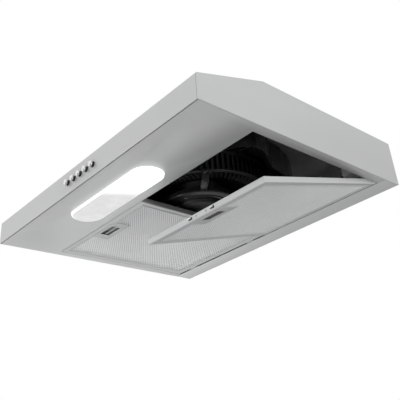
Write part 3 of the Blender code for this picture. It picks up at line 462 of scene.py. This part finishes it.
def lens_material():
    """Milky acrylic: emission rises from soft grey at the left to white at the right and at the rim."""
    material, surface, tree, grain = shader("frosted_acrylic")
    grain.inputs["Stretch"].default_value = (1, 1, 1)
    grain.inputs["Fineness"].default_value = 60.0
    surface.inputs["Base Color"].default_value = (0.55, 0.55, 0.55, 1)
    surface.inputs["Emission Strength"].default_value = 1.0
    surface.inputs["Coat Weight"].default_value = 0.3
    blend_value(tree, grain.outputs["Lines"], 0.16, 0.30, surface.inputs["Roughness"])
    place = tree.nodes.new("ShaderNodeTexCoord")
    apart = tree.nodes.new("ShaderNodeSeparateXYZ")
    tree.links.new(place.outputs["Object"], apart.inputs[0])

    def ramp(source, low, high):
        """Smooth rise from 0 at low to 1 at high."""
        node = tree.nodes.new("ShaderNodeMapRange")
        node.interpolation_type = "SMOOTHSTEP"
        node.inputs["From Min"].default_value = low
        node.inputs["From Max"].default_value = high
        tree.links.new(source, node.inputs["Value"])
        return node.outputs["Result"]

    def combine(operation, a, b):
        """One maths node; b is a socket or a plain number."""
        node = tree.nodes.new("ShaderNodeMath")
        node.operation = operation
        tree.links.new(a, node.inputs[0])
        if isinstance(b, float):
            node.inputs[1].default_value = b
        else:
            tree.links.new(b, node.inputs[1])
        return node.outputs[0]

    slant = -0.45
    along = combine("ADD", apart.outputs["X"], combine("MULTIPLY", apart.outputs["Y"], slant))
    centre = slant * back(LENS_BACK)
    lit_end = ramp(along, centre - 0.002, centre + 0.046)
    rim = lens_rim_mask(tree)
    mask = combine("MAXIMUM", lit_end, rim)
    mottle = combine("MULTIPLY", grain.outputs["Lines"], 0.25)
    mask = combine("ADD", mask, mottle)
    blend_colour(tree, mask, (0.20, 0.20, 0.20), (1.0, 1.0, 1.0), surface.inputs["Emission Color"])
    return material


def lens_rim_mask(tree):
    """Reads the attribute that is 1 at the cover's edge and 0 over its flat."""
    node = tree.nodes.new("ShaderNodeAttribute")
    node.attribute_name = "edge_glow"
    return node.outputs["Fac"]


grow = [0.004, 0.004, 0.0, 0.0, -0.0003, -0.0012, -0.0028, -0.0055, -0.009, -0.013, -0.019, -0.0250]
level = [0.0025, 0.0013, 0.0013, -0.0022, -0.0030, -0.0036, -0.0039, -0.0040, -0.0040, -0.0040,
         -0.0040, -0.0040]
cover = lofted([lens_outline(g) for g in grow], [up(z) for z in level])
lens = piece("lamp_cover", cover, lens_material(), stands_for=["lamp_lens"])
glow = lens.data.attributes.new("edge_glow", "FLOAT", "POINT")
points = np.zeros(len(lens.data.vertices) * 3, np.float32)
lens.data.vertices.foreach_get("co", points)
points = points.reshape(-1, 3)
corner = np.maximum(np.abs(points[:, :2] - (LENS_X, back(LENS_BACK)))
                    - (LENS_LENGTH / 2 - LENS_CORNER, LENS_WIDTH / 2 - LENS_CORNER), 0)
inside = LENS_CORNER - np.linalg.norm(corner, axis=1)
glow.data.foreach_set("value", np.clip(1 - (inside - 0.0008) / 0.0018, 0, 1).astype(np.float32))


def clothe(names, material):
    """Gives CAD nodes that stay as they are their finish."""
    for name in names:
        nodes[name].data.materials.clear()
        nodes[name].data.materials.append(material)


plated = metal("plated_steel", (0.42, 0.43, 0.44), (0.58, 0.58, 0.57), 0.38, fineness=120.0)
clothe(["lamp_tray", "capacitor_clamp", "impeller_nut"], plated)
clothe(["lamp_board"], moulded("solder_mask", (0.78, 0.78, 0.76), (0.88, 0.88, 0.86), 0.4))

# ---------------------------------------------------------------- push buttons
# Five chromed caps on near-black stems, each in a plain round hole in the fascia. The stems' near-black
# colour is painted reflection:
# it stands for the dark room that the chrome sides would mirror. A coil spring on the switch block stands
# behind each one: it shortens as the button goes in and pushes it back.

chrome = metal("polished_chrome", (0.80, 0.80, 0.81), (0.90, 0.90, 0.90), 0.09, fineness=90.0,
               strength=0.05)
spring_wire = metal("spring_wire", (0.32, 0.32, 0.34), (0.5, 0.5, 0.5), 0.28, fineness=200.0)

BUTTON_RADIUS = 0.005
COIL_WIRE = 0.0004
# The stem metal's near-black colour is painted reflection, standing for the dark surroundings mirrored in
# the chrome's sides.
stem_painted_reflection_dark = metal("stem_painted_reflection_dark", (0.05, 0.05, 0.052), (0.09, 0.09, 0.09), 0.16, fineness=90.0,
                      strength=0.05)
button_front, button_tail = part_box("button_1")[0].y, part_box("button_1")[1].y
cap = [(radius, button_front + depth) for radius, depth in (
    (0, 0.0030), (BUTTON_RADIUS, 0.0030), (BUTTON_RADIUS, 0.0013), (0.00488, 0.0008), (0.0045, 0.0003),
    (0.0038, 0.00005), (0.0032, 0), (0.0024, 0.0002), (0.0012, 0.0004), (0, 0.0005))]
stem = [(0, button_front + 0.0028), (BUTTON_RADIUS - 0.0003, button_front + 0.0028),
        (BUTTON_RADIUS - 0.0003, button_tail), (0, button_tail)]
for index, x in enumerate(button_places):
    name = "button_%d" % (index + 1)
    middle = (x, 0, up(BUTTON_HEIGHT))
    piece("push_" + name, turned(cap, middle, 48, "Y"), chrome, body=name, stands_for=[name])
    piece("stem_of_" + name, turned(stem, middle, 48, "Y"), stem_painted_reflection_dark, body=name)
    spring = "button_spring_%d" % (index + 1)
    fixed_end, free_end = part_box(spring)[1].y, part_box(spring)[0].y
    shape = coil((x, up(BUTTON_HEIGHT)), free_end, fixed_end, 0.0034, COIL_WIRE, 4)
    wound = piece("coil_of_" + name, shape, spring_wire, stands_for=[spring])
    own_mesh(wound)
clothe(["switch_block"], moulded("switch_plastic", (0.010, 0.010, 0.011), (0.019, 0.019, 0.020), 0.3))

# ---------------------------------------------------------------- grease filters
# Each filter is a channel of satin aluminium round a pack of expanded mesh. Two hooks rest on the rear
# flange, and a latch in the front edge snaps its two tongues under the hood's lip.

aluminium = metal("satin_aluminium", (0.61, 0.615, 0.62), (0.67, 0.67, 0.67), 0.34, fineness=260.0,
                  metallic=0.5)
mesh_metal = metal("expanded_mesh", (0.86, 0.87, 0.88), (0.95, 0.95, 0.95), 0.34, fineness=350.0,
                   metallic=0.4)
# The pad is a darker copy of the mesh aluminium: its dark tone is painted shade for the inner layers lying
# under the outer mesh.
pad_metal_painted_shade = metal("mesh_pad", (0.52, 0.525, 0.53), (0.84, 0.84, 0.84), 0.45, fineness=500.0,
                  metallic=0.5)
latch_paint = metal("latch_plate", (0.56, 0.565, 0.57), (0.62, 0.62, 0.62), 0.38, fineness=200.0,
                    metallic=0.5)

FILTER_HALF = 0.1403
FILTER_FRONT, FILTER_REAR = 0.1278, 0.4518
FILTER_THICK = 0.010
HINGE = Vector((0.0, back(0.4560), up(0.0020)))
TILT = math.radians(14.5)
CELL_LONG = 0.0066
CELL_SHORT = 0.0050
BORDER = 0.0150
LATCH_HALF = 0.040
LATCH_REAR = 0.1740
RIVET_OFFSET = 0.012
HOOK_OFFSET = 0.095


def channel(centre):
    """The frame's rolled section, carried round the four sides with mitred corners."""
    section = [(0.0, 0.0016), (0.0003, 0.0007), (0.0010, 0.0001), (0.0018, 0.0), (0.0096, 0.0),
               (0.0102, 0.0009), (0.0118, 0.0009), (0.0124, 0.0), (BORDER - 0.0006, 0.0),
               (BORDER, 0.0005), (BORDER, 0.0013), (BORDER - 0.0012, 0.0013), (0.0126, 0.0010),
               (0.0118, 0.0018), (0.0100, 0.0018), (0.0094, 0.0010), (0.0016, 0.0010),
               (0.0008, 0.0018), (0.0008, 0.0086), (0.0014, 0.0092), (0.0100, 0.0092),
               (0.0100, 0.0100), (0.0012, 0.0100), (0.0003, 0.0096), (0.0, 0.0088)]
    section = np.array(section)
    corners = []
    for sx, sy in ((-1, 0), (1, 0), (1, 1), (-1, 1)):
        x = centre + sx * (FILTER_HALF - section[:, 0])
        y = back(FILTER_REAR) - section[:, 0] if sy else back(FILTER_FRONT) + section[:, 0]
        corners.append(np.column_stack([x, y, up(0.0) + section[:, 1]]))
    return np.vstack(corners), rings(4, len(section))


def expanded_mesh(centre, height):
    """Links of expanded metal: each link is a thin tilted strip between two knuckles of a diamond
    lattice, whose cells are CELL_LONG by CELL_SHORT. Links over the latch are left out."""
    reach = 0.0025
    columns = int(2 * (FILTER_HALF - BORDER + reach) / (CELL_LONG / 2))
    rows = int((FILTER_REAR - FILTER_FRONT - 2 * (BORDER - reach)) / (CELL_SHORT / 2))
    j, i = np.meshgrid(np.arange(rows), np.arange(columns), indexing="ij")
    rise = np.where((i + j) % 2 == 0, 1.0, -1.0).ravel()
    x = (centre - FILTER_HALF + BORDER - reach + (i.ravel() + 0.5) * CELL_LONG / 2)
    y = back(FILTER_FRONT + BORDER - reach) + (j.ravel() + 0.5) * CELL_SHORT / 2
    keep = (np.abs(x - centre) > 0.0403) | (y > back(0.1743))
    x, y, rise = x[keep], y[keep], rise[keep]
    along = 1.08 * np.column_stack([np.full(len(x), CELL_LONG / 4), rise * CELL_SHORT / 4,
                                    np.zeros(len(x))])
    length = np.linalg.norm(along, axis=1)[:, None]
    across = np.column_stack([-along[:, 1], along[:, 0], np.zeros(len(x))]) / length
    lift = np.array([0.0, 0.0, 1.0])
    half = np.where(rise < 0, 0.00085, 0.00045)[:, None]
    wide = across * half + lift * 0.00025 * rise[:, None]
    thin = lift * 0.00016 - across * 0.00008
    middle = np.column_stack([x, y, np.full(len(x), up(height))])
    corners = [middle + a * along + b * wide + c * thin
               for a in (-1, 1) for b, c in ((-1, -1), (1, -1), (1, 1), (-1, 1))]
    points = np.stack(corners, 1).reshape(-1, 3)
    faces = np.array([(0, 1, 2, 3), (7, 6, 5, 4), (0, 4, 5, 1), (1, 5, 6, 2), (2, 6, 7, 3), (3, 7, 4, 0)])
    return points, (faces[None] + 8 * np.arange(len(x))[:, None, None]).reshape(-1, 4).tolist()


def mesh_pad(centre):
    """Crumpled inner layers, as one thin sheet: height is a sum of three sine waves across each other."""
    x = np.linspace(centre - FILTER_HALF + 0.003, centre + FILTER_HALF - 0.003, 91)
    y = np.linspace(back(FILTER_FRONT + 0.003), back(FILTER_REAR - 0.003), 105)
    x = np.union1d(x, centre + np.array((-0.0397, -0.0388, 0.0388, 0.0397)))
    y = np.union1d(y, (back(0.1728), back(0.1737)))
    gx, gy = np.meshgrid(x, y, indexing="ij")
    wave = (np.sin(gx * 790 + 2.0 * np.sin(gy * 160)) + np.sin(gy * 930 + 1.5 * np.sin(gx * 210))
            + np.sin((gx + gy) * 610))
    low = up(0.0052) + 0.00028 * wave
    blocked = (np.abs(gx - centre) < 0.0392) & (gy < back(0.1732))
    low = np.where(blocked, up(0.0090), low)
    layers = [np.stack([gx, gy, low + h], -1).reshape(-1, 3) for h in (0.0, 0.0006)]
    nx, ny = gx.shape
    i, j = np.meshgrid(np.arange(nx - 1), np.arange(ny - 1), indexing="ij")
    quads = np.stack([i * ny + j, (i + 1) * ny + j, (i + 1) * ny + j + 1, i * ny + j + 1], -1)
    quads = quads.reshape(-1, 4)
    rim = np.concatenate([np.arange(nx) * ny, (nx - 1) * ny + np.arange(1, ny),
                          np.arange(nx - 2, -1, -1) * ny + ny - 1, np.arange(ny - 2, 0, -1)])
    ahead = np.roll(rim, -1)
    n = nx * ny
    wall = np.stack([rim, ahead, ahead + n, rim + n], 1)
    return np.vstack(layers), quads[:, ::-1].tolist() + (quads + n).tolist() + wall.tolist()


for side, label, tilt in ((-1, "left", 0.0), (1, "right", TILT)):
    centre = side * FILTER_CENTRE
    body = "filter_" + label
    swing = Matrix.Translation(HINGE) @ Matrix.Rotation(tilt, 4, "X") @ Matrix.Translation(-HINGE)
    hooks = [box((x - 0.010, x + 0.010), (back(FILTER_REAR - 0.0004), back(0.4615)),
                 (up(0.0014), up(0.0026))) for x in (centre - HOOK_OFFSET, centre + HOOK_OFFSET)]
    slots = [box((x - 0.0048, x + 0.0048), (back(FILTER_FRONT - 0.005), back(FILTER_FRONT + 0.004)),
                 (up(0.0036), up(0.0081))) for x in (centre - TONGUE_OFFSET, centre + TONGUE_OFFSET)]
    window = box((centre - 0.0401, centre + 0.0401), (back(FILTER_FRONT + 0.0099), back(0.1741)),
                 (up(-0.01), up(0.004)))
    piece("filter_channel_" + label, channel(centre), aluminium, body=body,
          stands_for=["filter_frame_" + label], cut=[together(*slots), window],
          add=[together(*hooks)], turn=swing)
    piece("filter_screen_" + label, expanded_mesh(centre, 0.0014),
          mesh_metal, body=body, stands_for=["filter_mesh_" + label], turn=swing)
    piece("filter_pad_" + label, mesh_pad(centre), pad_metal_painted_shade, body=body, turn=swing)
    front, rear = back(FILTER_FRONT + 0.0103), back(LATCH_REAR)
    case = box((centre - LATCH_HALF, centre + LATCH_HALF), (front, rear), (up(0.0), up(FILTER_THICK)))
    hollow = box((centre - 0.0385, centre + 0.0385), (front - 0.005, rear - 0.0015),
                 (up(0.0013), up(FILTER_THICK - 0.0013)))
    finger = prism(fillet([(centre - 0.021, back(0.1460)), (centre + 0.021, back(0.1460)),
                           (centre + 0.021, back(0.1645)), (centre - 0.021, back(0.1645))], 0.002, 4, True),
                   up(-0.005), up(0.005))
    piece("latch_case_" + label, case, latch_paint, body=body,
          stands_for=["latch_housing_" + label], cut=[hollow, finger], edge=0.0003, turn=swing)
    rivets = [turned([(0, back(FILTER_FRONT + 0.001)), (0.0017, back(FILTER_FRONT + 0.001)),
                      (0.0017, back(FILTER_FRONT - 0.0001)), (0.0012, back(FILTER_FRONT - 0.0005)),
                      (0, back(FILTER_FRONT - 0.0006))], (x, 0, up(0.0055)), 20, "Y")
              for x in (centre - RIVET_OFFSET, centre + RIVET_OFFSET)]
    piece("latch_rivets_" + label, together(*rivets), spring_wire, body=body,
          turn=swing)
    free_end, fixed_end, level = back(0.1663), back(0.1722), up(0.0059)
    shape = coil((centre, level), free_end, fixed_end, 0.0019, COIL_WIRE, 3)
    wound = piece("latch_coil_" + label, shape, spring_wire, body=body,
                  stands_for=["latch_spring_" + label], turn=swing)
    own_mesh(wound)
clothe(["latch_slider_left", "latch_slider_right"], chrome)

# ---------------------------------------------------------------- blower housing
# A spiral housing moulded in glossy black plastic: the bottom plate carries the rounded inlet lip, the
# cover has the side wall, the top and the spigot under the duct collar.

black_gloss = moulded("black_gloss_plastic", (0.012, 0.012, 0.013), (0.024, 0.024, 0.025), 0.15,
                      strength=0.06)
black_matt = moulded("black_matt_plastic", (0.014, 0.014, 0.015), (0.028, 0.028, 0.029), 0.42)
black_zinc = metal("black_zinc", (0.05, 0.05, 0.055), (0.09, 0.09, 0.09), 0.35)
INLET_EDGE = 0.1470
LIP_EDGE = 0.1520
PLATE_LOW, PLATE_HIGH = 0.0220, 0.0240


def polar(radius, degrees, centre=(0.0, 0.0)):
    """Points at a radius and an angle about a centre; either may be an array."""
    angle = np.radians(degrees)
    return np.stack([centre[0] + radius * np.cos(angle), centre[1] + radius * np.sin(angle)], -1)


share = np.linspace(0, 1, 121)
pocket = [(0.206, -0.023), (0.220, -0.046), (0.2245, -0.074), (0.210, -0.101), (0.172, -0.118),
          (0.128, -0.124)]
housing = np.vstack([polar(0.154 + 0.036 * share, -55 - 304 * share), pocket])
housing = fillet(housing[::-1], [0.012] * len(pocket) + [0.0] * len(share), 5, closed=True)
inlet_lip = fillet([(INLET_EDGE, up(0.0222)), (INLET_EDGE, up(0.0205)), (LIP_EDGE, up(0.0205)),
                    (LIP_EDGE, up(0.0238)), (INLET_EDGE + 0.001, up(0.0238))],
                   [0.0005, 0.0016, 0.0024, 0.0003, 0.0003], 6, closed=True)
pocket_rim = fillet([(0.0440, up(0.0223)), (0.0440, up(0.0206)), (0.0475, up(0.0206)),
                     (0.0475, up(0.0223))], [0, 0.0012, 0.0012, 0], 4, closed=True)
DISCHARGE = (0.176, -0.070)
ribs = [prism([polar(inner, angle - 0.35), polar(outer, angle - 0.35), polar(outer, angle + 0.35),
               polar(inner, angle + 0.35)], up(0.0207), up(0.0223))
        for inner, outer, angle in ((0.1535, 0.186, 24), (0.1535, 0.187, 12), (0.1535, 0.180, 60),
                                    (0.1535, 0.176, 90), (0.1535, 0.172, 120), (0.1535, 0.163, 180))]
clip = [box((0.1555, 0.1585), (-0.1060, -0.0960), (up(0.0206), up(0.0222))),
        box((0.1580, 0.1650), (-0.1060, -0.1030), (up(0.0206), up(0.0222)))]
piece("blower_plate", prism(housing, up(PLATE_LOW), up(PLATE_HIGH)), black_gloss,
      stands_for=["volute_plate"], cut=[drum((INLET_EDGE + LIP_EDGE) / 2, up(0.0), up(0.05), segments=160)],
      add=[turned(inlet_lip, segments=160), turned(pocket_rim, (*DISCHARGE, 0.0), 96),
           together(*ribs, *clip)])
clothe(["volute_cover"], black_gloss)

# Motor bracket: a dish under the motor, with four channel-shaped arms across the inlet to the plate. A
# pan-head screw with a cross recess holds each arm's foot.

DISH_EDGE = 0.0820
ARM_HALF = 0.0066
FOOT_RADIUS = 0.1570
ARM_ANGLES = (-38.0, 38.0, 142.0, 218.0)
dish = fillet([(0.0503, up(0.0200)), (0.0770, up(0.0200)), (0.0780, up(0.0176)), (DISH_EDGE, up(0.0176)),
               (DISH_EDGE, up(0.0270)), (0.0780, up(0.0270)), (0.0770, up(0.0230)), (0.0503, up(0.0230))],
              [0.0008, 0.0010, 0.0015, 0.0018, 0.0008, 0.0008, 0.0010, 0.0008], 5, closed=True)
inner_ring = fillet([(0.0580, up(0.0203)), (0.0580, up(0.0190)), (0.0600, up(0.0190)),
                     (0.0600, up(0.0203))], [0, 0.0008, 0.0008, 0], 3, closed=True)


def arm(angle):
    """One arm: a strip with a rib down each edge, and a raised foot that stands on the plate."""
    parts = [box((0.0815, FOOT_RADIUS + 0.006), (-ARM_HALF, ARM_HALF), (up(0.0190), up(0.0201))),
             box((LIP_EDGE + 0.0005, FOOT_RADIUS + 0.006), (-ARM_HALF, ARM_HALF), (up(0.0177), up(0.0218)))]
    for side in (-1, 1):
        y = sorted((side * ARM_HALF, side * (ARM_HALF - 0.0014)))
        parts.append(box((0.0810, FOOT_RADIUS + 0.006), y, (up(0.0177), up(0.0200))))
    points, faces = together(*parts)
    c, s = math.cos(math.radians(angle)), math.sin(math.radians(angle))
    return points @ np.array(((c, s, 0), (-s, c, 0), (0, 0, 1))), faces


piece("motor_cradle", together(turned(dish, segments=128), turned(inner_ring, segments=128),
                               *[arm(angle) for angle in ARM_ANGLES]),
      black_gloss, stands_for=["motor_bracket"], edge=0.0004)


def pan_screw(name, profile, place, stands_for):
    """Pan-head screw from its profile, with a cross recess cut into the end at the profile's start."""
    end = profile[0][1]
    reach = 0.0008 if end < profile[-1][1] else -0.0008
    recess = [box((place[0] - x, place[0] + x), (place[1] - y, place[1] + y),
                  sorted((end - reach, end + reach))) for x, y in ((0.0017, 0.0003), (0.0003, 0.0017))]
    piece(name, turned(profile, (*place, 0.0), 32), black_zinc,
          stands_for=[stands_for],
          cut=recess)


seat = up(0.0173)
for index, angle in enumerate(ARM_ANGLES):
    pan_screw("arm_screw_%d" % (index + 1),
              [(0, seat - 0.0022), (0.0020, seat - 0.0021), (0.0033, seat - 0.0016), (0.0040, seat - 0.0006),
               (0.0040, seat), (0.0019, seat), (0.0019, up(0.0262)), (0, up(0.0270))],
              polar(FOOT_RADIUS, angle), "bracket_screw_%d" % (index + 1))

# ---------------------------------------------------------------- motor and fan
# The motor hangs in the dish: drawn cup above, rounded cap below. The wheel is moulded in one piece with
# its curved blades, a shroud ring at the foot and a back plate with a hub.

end_cap = [(radius, up(height)) for radius, height in (
    (0, 0.0142), (0.0120, 0.0142), (0.0126, 0.0146), (0.0290, 0.0146), (0.0298, 0.0142), (0.0330, 0.0142),
    (0.0400, 0.0147), (0.0440, 0.0156), (0.0462, 0.0168), (0.0470, 0.0182), (0.0470, 0.0200),
    (0.0120, 0.0200), (0.0120, 0.0258), (0.0095, 0.0258), (0.0095, 0.0200), (0, 0.0200))]
piece("motor_cap", turned(end_cap, segments=96), black_matt,
      stands_for=["motor_end_cap"])
can = fillet([(0.0450, up(0.0203)), (0.0470, up(0.0203)), (0.0470, up(0.0233)), (0.0580, up(0.0233)),
              (0.0580, up(0.0248)), (0.0470, up(0.0248)), (0.0470, up(0.0600)), (0.0050, up(0.0600)),
              (0.0050, up(0.0580)), (0.0095, up(0.0580)), (0.0095, up(0.0515)), (0.0120, up(0.0515)),
              (0.0120, up(0.0575)), (0.0450, up(0.0575))],
             [0, 0, 0.0005, 0.0004, 0.0004, 0.0010, 0.0030, 0, 0, 0, 0, 0, 0.0005, 0.0020], 4, closed=True)
piece("motor_cup", turned(can, segments=96), plated, stands_for=["motor_can"])
clothe(["motor_stator"], metal("copper_winding", (0.45, 0.18, 0.08), (0.6, 0.28, 0.12), 0.4))
clothe(["motor_rotor", "motor_shaft", "bearing_lower", "bearing_upper"], spring_wire)

BLADES = 84
WHEEL_EDGE = 0.1400
WHEEL_LOW, WHEEL_HIGH = 0.0300, 0.0700
blade_share = np.linspace(0, 1, 7)
blade_radius = 0.108 + (WHEEL_EDGE - 0.001 - 0.108) * blade_share
lean = -7.0 * blade_share ** 2
half_thick = np.degrees(0.0005 / blade_radius)
blades = []
for start in np.arange(BLADES) * 360 / BLADES:
    faces = [polar(blade_radius, start + lean - half_thick),
             polar(blade_radius, start + lean + half_thick)[::-1]]
    blades.append(prism(np.vstack(faces), up(WHEEL_LOW + 0.001), up(WHEEL_HIGH - 0.001)))
hub = [(0.0043, up(0.0610)), (0.0140, up(0.0610)), (0.0150, up(0.0680)), (WHEEL_EDGE, up(0.0680)),
       (WHEEL_EDGE, up(WHEEL_HIGH)), (0.0043, up(WHEEL_HIGH))]
shroud = fillet([(0.1330, up(WHEEL_LOW)), (WHEEL_EDGE, up(WHEEL_LOW)), (WHEEL_EDGE, up(0.0330)),
                 (0.1330, up(0.0330))], 0.0009, 3, closed=True)
piece("fan_wheel", together(turned(hub, segments=128), turned(shroud, segments=128), *blades),
      moulded("fan_plastic", (0.022, 0.022, 0.023), (0.036, 0.036, 0.037), 0.32),
      body="fan_wheel", stands_for=["impeller"])

# ---------------------------------------------------------------- duct collar
# Black ring screwed to the top sheet for a round duct, with two grey flaps that rest on its ledge and
# swing up about a bar across the middle.

grey_plastic = moulded("grey_plastic", (0.26, 0.27, 0.28), (0.34, 0.35, 0.36), 0.45)
COLLAR_INNER = COLLAR_RADIUS - 0.002
GAP = 0.0004
collar = fillet([(COLLAR_INNER - 0.0035, GAP), (0.0680, GAP), (0.0680, 0.0024), (COLLAR_RADIUS, 0.0030),
                 (COLLAR_RADIUS, 0.0450), (COLLAR_INNER, 0.0450), (COLLAR_INNER, 0.0060),
                 (COLLAR_INNER - 0.0035, 0.0060)],
                [0.0003, 0.0006, 0.0008, 0.0020, 0.0008, 0.0008, 0, 0.0006], 4, closed=True)
bar = box((OUTLET[0] - 0.0018, OUTLET[0] + 0.0018),
          (OUTLET[1] - COLLAR_INNER - 0.0005, OUTLET[1] + COLLAR_INNER + 0.0005), (GAP + 0.0002, 0.0105))
piece("collar_ring", turned(collar, (*OUTLET, 0.0), 128), black_matt,
      stands_for=["duct_collar"], add=[bar])
flap_reach = COLLAR_INNER - 0.0010
FLAP_AXIS = (0.0037, 0.0076)
for side, label in ((-1, "left"), (1, "right")):
    half = math.degrees(math.acos(FLAP_AXIS[0] / flap_reach))
    edge_line = polar(flap_reach, np.linspace(half, -half, 61)) * (side, 1) + OUTLET
    low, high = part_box("damper_flap_" + label)
    plate = prism(edge_line, 0.0060 + GAP, 0.0072 + GAP)
    barrel = drum(0.0013, low.y, high.y, (OUTLET[0] + side * FLAP_AXIS[0], FLAP_AXIS[1]), 24, "Y")
    piece("air_flap_" + label, plate, grey_plastic, body="flap_" + label,
          stands_for=["damper_flap_" + label], add=[barrel], edge=0.0002)
for index, side in enumerate((1, -1)):
    pan_screw("flange_screw_%d" % (index + 1),
              [(0, 0.0048), (0.0012, 0.0047), (0.0024, 0.0042), (0.0030, 0.0034), (0.0030, 0.0030),
               (0.0014, 0.0030), (0.0014, -0.0052), (0, -0.0060)],
              np.array(OUTLET) + (side * 0.0642, 0), "collar_screw_%d" % (index + 1))

# ---------------------------------------------------------------- electrics
# Supply inlet grommet in the top, white terminal box on the right side wall, motor capacitor on the back
# wall, and the leads between them.

white_plastic = moulded("white_plastic", (0.74, 0.74, 0.73), (0.84, 0.84, 0.83), 0.36)
ring_line = fillet([(0.0045, -0.0040), (0.0090, -0.0040), (0.0090, -0.0014), (0.0065, -0.0014),
                    (0.0065, GAP), (0.0090, GAP), (0.0090, 0.0018), (0.0045, 0.0018)],
                   [0.0008, 0.0008, 0.0003, 0, 0, 0.0003, 0.0006, 0.0006], 3, closed=True)
piece("inlet_grommet", turned(ring_line, (*INLET, 0.0), 64),
      moulded("rubber", (0.015, 0.015, 0.015), (0.03, 0.03, 0.03), 0.7),
      stands_for=["cable_grommet"])
for name, thing, margin in (("junction_box", "terminal_box", 0.0018), ("junction_lid", "terminal_lid", 0)):
    low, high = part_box(thing)
    inside = [box((low.x + margin, high.x - margin), (low.y + margin, high.y - margin),
                  (low.z - margin, high.z - margin))] if margin else []
    piece(name, box((low.x, high.x), (low.y, high.y), (low.z, high.z)), white_plastic,
          stands_for=[thing], cut=inside, edge=0.0005)
clothe(["lamp_lead"], white_plastic)
low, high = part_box("capacitor")
radius = (high.z - low.z) / 2
pot = fillet([(0, low.x), (radius, low.x), (radius, high.x), (0, high.x)], [0, 0.0016, 0.0016, 0], 5,
             closed=True)
piece("capacitor_pot", turned(pot, (0, (low.y + high.y) / 2, (low.z + high.z) / 2), 64, "X"), grey_plastic,
      stands_for=["capacitor"])
clothe(["motor_lead", "switch_lead"],
       moulded("cable_sheath", (0.010, 0.010, 0.010), (0.016, 0.016, 0.016), 0.6))

# ---------------------------------------------------------------- room
# Plain floor under the hood, soft light all round with three dimmer patches and a brighter one, and three
# soft panels: front, right, and a near left one that adds no highlight. The camera looks up from below.

floor_shape = box((-6, 6), (-6, 6), (-1.60, -1.55))
floor = piece("floor", floor_shape, moulded("floor_paint", (0.35, 0.35, 0.35), (0.39, 0.39, 0.39), 0.7))
del floor["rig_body"]
floor.parent = None

world = bpy.data.worlds.new("studio")
bpy.context.scene.world = world
world.use_nodes = True
tree = world.node_tree
sky = tree.nodes["Background"]
sky.inputs["Color"].default_value = (1, 1, 1, 1)
facing = tree.nodes.new("ShaderNodeTexCoord").outputs["Generated"]


def sky_lobe(level, direction, start, end, change):
    """Adds change to a brightness level inside a round patch of sky: start and end are cosines."""
    aligned = tree.nodes.new("ShaderNodeVectorMath")
    aligned.operation = "DOT_PRODUCT"
    aligned.inputs[1].default_value = Vector(direction).normalized()
    tree.links.new(facing, aligned.inputs[0])
    patch = tree.nodes.new("ShaderNodeMapRange")
    patch.interpolation_type = "SMOOTHSTEP"
    patch.inputs["From Min"].default_value = start
    patch.inputs["From Max"].default_value = end
    patch.inputs["To Max"].default_value = change
    tree.links.new(aligned.outputs["Value"], patch.inputs["Value"])
    total = tree.nodes.new("ShaderNodeMath")
    if isinstance(level, float):
        total.inputs[0].default_value = level
    else:
        tree.links.new(level, total.inputs[0])
    tree.links.new(patch.outputs["Result"], total.inputs[1])
    return total.outputs[0]


light = sky_lobe(0.89, (-0.574, 0.819, -0.03), 0.84, 0.97, -0.78)
light = sky_lobe(light, (0.35, 0.85, 0.40), 0.90, 1.0, -0.36)
light = sky_lobe(light, (-0.42, -0.90, 0.08), 0.90, 0.99, -0.40)
light = sky_lobe(light, (-0.82, -0.56, 0.08), 0.92, 1.0, 0.40)
seen = tree.nodes.new("ShaderNodeLightPath")
mix = tree.nodes.new("ShaderNodeMix")
mix.data_type = "FLOAT"
mix.inputs[3].default_value = 1.0
tree.links.new(light, mix.inputs[2])
tree.links.new(seen.outputs["Is Camera Ray"], mix.inputs[0])
tree.links.new(mix.outputs[0], sky.inputs["Strength"])
bpy.context.scene.view_settings.view_transform = "Standard"


def soft_panel(name, place, aim, size, power):
    """Square lamp at a place, turned to face its aim."""
    lamp = bpy.data.lights.new(name, "AREA")
    lamp.shape, lamp.size, lamp.energy = "SQUARE", size, power
    item = bpy.data.objects.new(name, lamp)
    bpy.context.scene.collection.objects.link(item)
    item.location = place
    item.rotation_euler = (Vector(aim) - Vector(place)).to_track_quat("-Z", "Y").to_euler()
    return item


left_lamp = soft_panel("left_panel", (-0.62, 0.22, -0.70), (-0.22, 0.0, -0.09), 0.35, 4.4)
left_lamp.visible_glossy = False
soft_panel("front_panel", (-0.2, -1.6, -0.95), (0.05, 0.0, -0.08), 0.28, 6.0)
soft_panel("right_panel", (1.9, -0.15, -0.95), (0.1, 0.0, -0.05), 0.35, 9.0)

camera = bpy.data.objects.new("camera", bpy.data.cameras.new("camera"))
bpy.context.scene.collection.objects.link(camera)
right = Vector((0.658, 0.748, -0.091)).normalized()
forward = Vector((-0.653, 0.627, 0.425)).normalized()
above = right.cross(forward).normalized()
right = forward.cross(above)
camera.matrix_world = Matrix.Translation((0.794, -0.762, -0.567)) @ Matrix(
    (right, above, -forward)).transposed().to_4x4()
camera.data.lens = 55.4
bpy.context.scene.camera = camera
